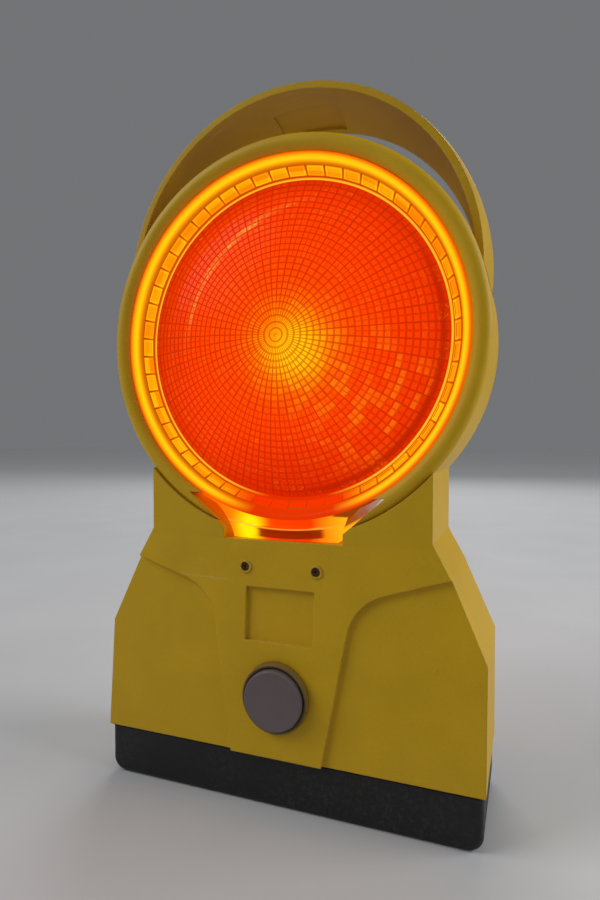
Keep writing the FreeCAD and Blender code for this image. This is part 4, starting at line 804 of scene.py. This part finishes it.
# %% Run a tree and keep a plain mesh
def grow(tree, name, values, points=None):
    """Run a shape tree with these inputs; gives a plain mesh object."""
    holder = bpy.data.objects.new(name + "_maker", bpy.data.meshes.new(name + "_seed"))
    if points:
        holder.data.from_pydata(points, [], [])
    bpy.context.scene.collection.objects.link(holder)
    modifier = holder.modifiers.new("shape", "NODES")
    modifier.node_group = tree
    keys = {item.name: item.identifier for item in tree.interface.items_tree
            if item.item_type == "SOCKET" and item.in_out == "INPUT"}
    for label, value in values.items():
        modifier[keys[label]] = value
    holder.update_tag()
    view = bpy.context.evaluated_depsgraph_get()
    mesh = bpy.data.meshes.new_from_object(holder.evaluated_get(view),
                                           preserve_all_data_layers=False, depsgraph=view)
    holder.modifiers.remove(modifier)
    bpy.data.objects.remove(holder)
    return as_piece(name, mesh)


def as_piece(name, mesh):
    """Put a mesh in the scene with its faces pointing outwards."""
    shape = bmesh.new()
    shape.from_mesh(mesh)
    bmesh.ops.remove_doubles(shape, verts=shape.verts, dist=WELD)
    bmesh.ops.recalc_face_normals(shape, faces=shape.faces)
    for face in shape.faces:
        face.material_index = 0
    shape.to_mesh(mesh)
    shape.free()
    material = [m for m in mesh.materials if m][0]
    mesh.materials.clear()
    mesh.materials.append(material)
    piece = bpy.data.objects.new(name, mesh)
    bpy.context.scene.collection.objects.link(piece)
    return piece


def join_pieces(name, pieces):
    """Several objects made into one."""
    with bpy.context.temp_override(active_object=pieces[0], object=pieces[0],
                                   selected_editable_objects=pieces):
        bpy.ops.object.join()
    pieces[0].name = name
    pieces[0].data.name = name
    return pieces[0]


def turned_copy(piece, name):
    """The same piece on the back of the lamp: half a turn about the upright line x = y = 0."""
    mesh = piece.data.copy()
    mesh.transform(((-1, 0, 0, 0), (0, -1, 0, 0), (0, 0, 1, 0), (0, 0, 0, 1)))
    copy = bpy.data.objects.new(name, mesh)
    bpy.context.scene.collection.objects.link(copy)
    return copy


print("runner ready")

# %% Prisms of both lenses
ZONES = [(RAYS, 2, 0.5 * MM, 6.0 * MM),         # sectors, rings, inner and outer radius
         (RAYS, 10, 6.0 * MM, 38.0 * MM),
         (2 * RAYS, 13, 38.0 * MM, DISC_EDGE)]
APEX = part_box("front_lens")[0].y
parts = [grow(domes, f"zone_{i}", {"Sectors": sectors, "Rings": rings, "Inner Radius": inner,
                                   "Outer Radius": outer, "Apex": APEX,
                                   "Material": lit_relief})
         for i, (sectors, rings, inner, outer) in enumerate(ZONES)]
front_prisms = join_pieces("front_lens_prisms", parts)
rear_prisms = turned_copy(front_prisms, "rear_lens_prisms")
for piece in (front_prisms, rear_prisms):
    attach(piece, "housing")
print("prism faces on one lens:", len(front_prisms.data.polygons))

# %% [markdown]
# ## The band of blocks
#
# Between the disc and the smooth rim runs a sloping band with a ring of equal blocks. Each block
# has a sunk middle, so it shows as a small frame. One block is made once and placed round a
# circle; the tree turns the instances into real faces at the end.

# %% Tree that sets blocks round a sloping band
bands, bands_in, bands_out = new_shape_tree("block_band", {
    "Count": (INT, RAYS), "Band Radius": (FLOAT, 83.6 * MM), "Band Depth": (FLOAT, -19.6 * MM),
    "Lean": (FLOAT, 0.93), "Long": (FLOAT, 9.3 * MM), "Wide": (FLOAT, 5.4 * MM),
    "High": (FLOAT, 1.4 * MM), "Frame": (FLOAT, 0.74), "Sink": (FLOAT, 0.4 * MM),
    "Middle Height": (FLOAT, LENS_MIDDLE), "Material": (MATERIAL, None)})
SHOULDER_SCALE = 0.93       # the top of a block is this share of its foot
SUNK_LIGHT = 0.7            # light in its sunk middle, where its frame has 1
size = add(bands, "ShaderNodeCombineXYZ", {0: bands_in["Long"], 1: bands_in["Wide"],
                                           2: bands_in["High"]})
block = add(bands, "GeometryNodeMeshCube", {"Size": size.outputs[0]})
face_up = add(bands, "ShaderNodeSeparateXYZ",
              {0: add(bands, "GeometryNodeInputNormal").outputs[0]})
top = calc(bands, "GREATER_THAN", face_up.outputs["Z"], 0.9)
shoulder = add(bands, "GeometryNodeScaleElements", {
    "Geometry": block.outputs["Mesh"], "Selection": top, "Scale": SHOULDER_SCALE}, domain="FACE")
inset = add(bands, "GeometryNodeExtrudeMesh", {"Mesh": shoulder.outputs[0], "Selection": top,
                                               "Offset Scale": 0.0}, mode="FACES")
inset_small = add(bands, "GeometryNodeScaleElements", {
    "Geometry": inset.outputs["Mesh"], "Selection": inset.outputs["Top"],
    "Scale": bands_in["Frame"]}, domain="FACE")
sink = add(bands, "GeometryNodeExtrudeMesh", {
    "Mesh": inset_small.outputs[0], "Selection": inset.outputs["Top"],
    "Offset Scale": calc(bands, "MULTIPLY", bands_in["Sink"], -1.0)}, mode="FACES")
framed = add(bands, "GeometryNodeStoreNamedAttribute", {
    "Geometry": sink.outputs["Mesh"], "Selection": top, "Name": "lit", "Value": 1.0},
    data_type="FLOAT", domain="FACE")
middle = add(bands, "GeometryNodeStoreNamedAttribute", {
    "Geometry": framed.outputs[0], "Selection": sink.outputs["Top"], "Name": "lit",
    "Value": SUNK_LIGHT}, data_type="FLOAT", domain="FACE")
circle = add(bands, "GeometryNodeMeshCircle", {"Vertices": bands_in["Count"],
                                               "Radius": bands_in["Band Radius"]})
spot = add(bands, "ShaderNodeSeparateXYZ", {0: add(bands, "GeometryNodeInputPosition").outputs[0]})
upright_spot = add(bands, "ShaderNodeCombineXYZ", {
    0: spot.outputs["X"], 1: bands_in["Band Depth"],
    2: calc(bands, "ADD", spot.outputs["Y"], bands_in["Middle Height"])})
stood = add(bands, "GeometryNodeSetPosition", {"Geometry": circle.outputs[0],
                                               "Position": upright_spot.outputs[0]})
here = add(bands, "ShaderNodeSeparateXYZ", {0: add(bands, "GeometryNodeInputPosition").outputs[0]})
rise = calc(bands, "SUBTRACT", here.outputs["Z"], bands_in["Middle Height"])
round_turn = calc(bands, "ARCTAN2", here.outputs["X"], rise)
tilt = add(bands, "ShaderNodeCombineXYZ", {0: calc(bands, "ADD", bands_in["Lean"], math.pi / 2)})
spin = add(bands, "ShaderNodeCombineXYZ", {1: round_turn})
leaning = add(bands, "FunctionNodeEulerToRotation", {0: tilt.outputs[0]})
spinning = add(bands, "FunctionNodeEulerToRotation", {0: spin.outputs[0]})
faced = add(bands, "FunctionNodeRotateRotation", {0: leaning.outputs[0], 1: spinning.outputs[0]},
            rotation_space="GLOBAL")
placed = add(bands, "GeometryNodeInstanceOnPoints", {"Points": stood.outputs[0],
                                                     "Instance": middle.outputs[0],
                                                     "Rotation": faced.outputs[0]})
end_tree(bands, placed.outputs[0], bands_in["Material"], bands_out)
print("tree", bands.name)

# %% Blocks of both lenses
front_blocks = grow(bands, "front_lens_blocks", {"Material": lit_relief})
rear_blocks = turned_copy(front_blocks, "rear_lens_blocks")
for piece in (front_blocks, rear_blocks):
    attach(piece, "housing")
print("block faces on one lens:", len(front_blocks.data.polygons))

# %% [markdown]
# ## Screws
#
# Every screw is the same idea at a different size: a shank, a low rounded head and a cross cut in
# its top. The solid model has plain heads, so each screw is measured there and a better one is
# grown in its place. One tree makes the screw and sets a copy at each point.

# %% Tree that makes cross head screws
screws, screws_in, screws_out = new_shape_tree("cross_screws", {
    "Geometry": (GEOMETRY, None), "Head Radius": (FLOAT, 3.0 * MM),
    "Head Height": (FLOAT, 1.8 * MM), "Shank Radius": (FLOAT, 1.5 * MM),
    "Shank Length": (FLOAT, 8.0 * MM), "Turn": (VECTOR, None), "Material": (MATERIAL, None)})
SIDES = 28
CROSS_LONG, CROSS_WIDE = 1.15, 0.26     # arms of the cross, as shares of the head's radius
foot = add(screws, "GeometryNodeMeshCircle", {"Vertices": SIDES,
                                              "Radius": screws_in["Shank Radius"]},
           fill_type="NGON")
wide = calc(screws, "DIVIDE", screws_in["Head Radius"], screws_in["Shank Radius"])
head = screws_in["Head Height"]
# Each step pulls the top face up, then scales it: shank, flange, side of the head, its round.
steps = [(screws_in["Shank Length"], 1.0), (0.0, wide),
         (calc(screws, "MULTIPLY", head, 0.55), 1.0), (calc(screws, "MULTIPLY", head, 0.25), 0.94),
         (calc(screws, "MULTIPLY", head, 0.20), 0.80)]
body, top = foot.outputs["Mesh"], None
for rise, scale in steps:
    raised = add(screws, "GeometryNodeExtrudeMesh", {"Mesh": body, "Offset Scale": rise},
                 mode="FACES")
    if top is not None:
        fill(raised, "Selection", top, screws)
    top = raised.outputs["Top"]
    sized = add(screws, "GeometryNodeScaleElements", {"Geometry": raised.outputs["Mesh"],
                                                      "Selection": top, "Scale": scale},
                domain="FACE")
    body = sized.outputs[0]
underside = add(screws, "GeometryNodeFlipFaces", {0: foot.outputs["Mesh"]})
both = add(screws, "GeometryNodeJoinGeometry")
screws.links.new(underside.outputs[0], both.inputs[0])
screws.links.new(body, both.inputs[0])
whole = add(screws, "GeometryNodeMergeByDistance", {"Geometry": both.outputs[0],
                                                    "Distance": WELD})
slot_long = calc(screws, "MULTIPLY", screws_in["Head Radius"], CROSS_LONG)
slot_wide = calc(screws, "MULTIPLY", screws_in["Head Radius"], CROSS_WIDE)
slot_top = calc(screws, "ADD", screws_in["Shank Length"], head)
cutters = []
for long, wide_way in ((slot_long, slot_wide), (slot_wide, slot_long)):
    size = add(screws, "ShaderNodeCombineXYZ", {0: long, 1: wide_way, 2: head})
    bar = add(screws, "GeometryNodeMeshCube", {"Size": size.outputs[0]})
    lift = add(screws, "ShaderNodeCombineXYZ", {2: slot_top})
    cutters.append(add(screws, "GeometryNodeTransform", {"Geometry": bar.outputs["Mesh"],
                                                         "Translation": lift.outputs[0]}))
crossed = add(screws, "GeometryNodeMeshBoolean", {"Mesh 1": whole.outputs[0]},
              operation="DIFFERENCE", solver="EXACT")
for cutter in cutters:
    screws.links.new(cutter.outputs[0], crossed.inputs["Mesh 2"])
placed = add(screws, "GeometryNodeInstanceOnPoints", {"Points": screws_in["Geometry"],
                                                      "Instance": crossed.outputs["Mesh"],
                                                      "Rotation": screws_in["Turn"]})
end_tree(screws, placed.outputs[0], screws_in["Material"], screws_out)
print("tree", screws.name)

# %% Measure the plain screws and put better ones there
def separate_solids(node):
    """The corner points of each separate solid in a part."""
    shape = bmesh.new()
    shape.from_mesh(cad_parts[node].data)
    bmesh.ops.remove_doubles(shape, verts=shape.verts, dist=WELD)
    seen, found = set(), []
    for start in shape.verts:
        if start in seen:
            continue
        island, waiting = [], [start]
        seen.add(start)
        while waiting:
            vert = waiting.pop()
            island.append(vert.co.copy())
            for edge in vert.link_edges:
                other = edge.other_vert(vert)
                if other not in seen:
                    seen.add(other)
                    waiting.append(other)
        found.append(island)
    shape.free()
    return found


END_BAND = 0.3 * MM         # points this near an end belong to its circle
HEAD_SHARE = 0.62           # height of a head, as a share of its radius


def measure_screw(points):
    """Axis, head direction, head radius, shank radius and both ends of one plain screw."""
    low = Vector([min(p[i] for p in points) for i in range(3)])
    high = Vector([max(p[i] for p in points) for i in range(3)])
    axis = max(range(3), key=lambda i: (high - low)[i])
    middle = (low + high) / 2

    def reach(near):
        band = [p for p in points if abs(p[axis] - near) < END_BAND]
        return max((p - Vector([p[i] if i == axis else middle[i] for i in range(3)])).length
                   for p in band)

    at_low, at_high = reach(low[axis]), reach(high[axis])
    sign = 1 if at_high > at_low else -1
    foot = middle.copy()
    foot[axis] = low[axis] if sign > 0 else high[axis]
    return axis, sign, max(at_low, at_high), min(at_low, at_high), foot, (high - low)[axis]


TURNS = {(0, 1): (0, math.pi / 2, 0), (0, -1): (0, -math.pi / 2, 0),
         (1, 1): (-math.pi / 2, 0, 0), (1, -1): (math.pi / 2, 0, 0),
         (2, 1): (0, 0, 0), (2, -1): (math.pi, 0, 0)}


def better_screws(node, body, steel):
    """Replace a node of plain screws by cross head ones of the same sizes."""
    kinds = {}
    for points in separate_solids(node):
        axis, sign, head, shank, foot, long = measure_screw(points)
        key = (axis, sign, round(head, 5), round(shank, 5), round(long, 5))
        kinds.setdefault(key, []).append(foot)
    made = []
    for i, ((axis, sign, head, shank, long), feet) in enumerate(sorted(kinds.items())):
        tall = head * HEAD_SHARE
        made.append(grow(screws, f"{node}_{i}", {
            "Head Radius": head, "Head Height": tall, "Shank Radius": shank,
            "Shank Length": long - tall, "Turn": TURNS[axis, sign], "Material": steel},
            [tuple(p) for p in feet]))
    piece = join_pieces(node + "_crossed", made)
    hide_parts(node)
    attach(piece, body)
    return piece


for node, body in (("housing_screws", "housing"), ("lens_screws", "housing"),
                   ("handle_screws", "housing"), ("mast_screws", "housing"),
                   ("board_screws", "housing"), ("tray_screws", "housing"),
                   ("bridge_screws", "cover")):
    # the lens screws take the dark steel, whose darkness is painted shade
    steel = screw_steel_painted_shade if node == "lens_screws" else bright_steel
    piece = better_screws(node, body, steel)
    print(piece.name, len(piece.data.polygons), "faces")
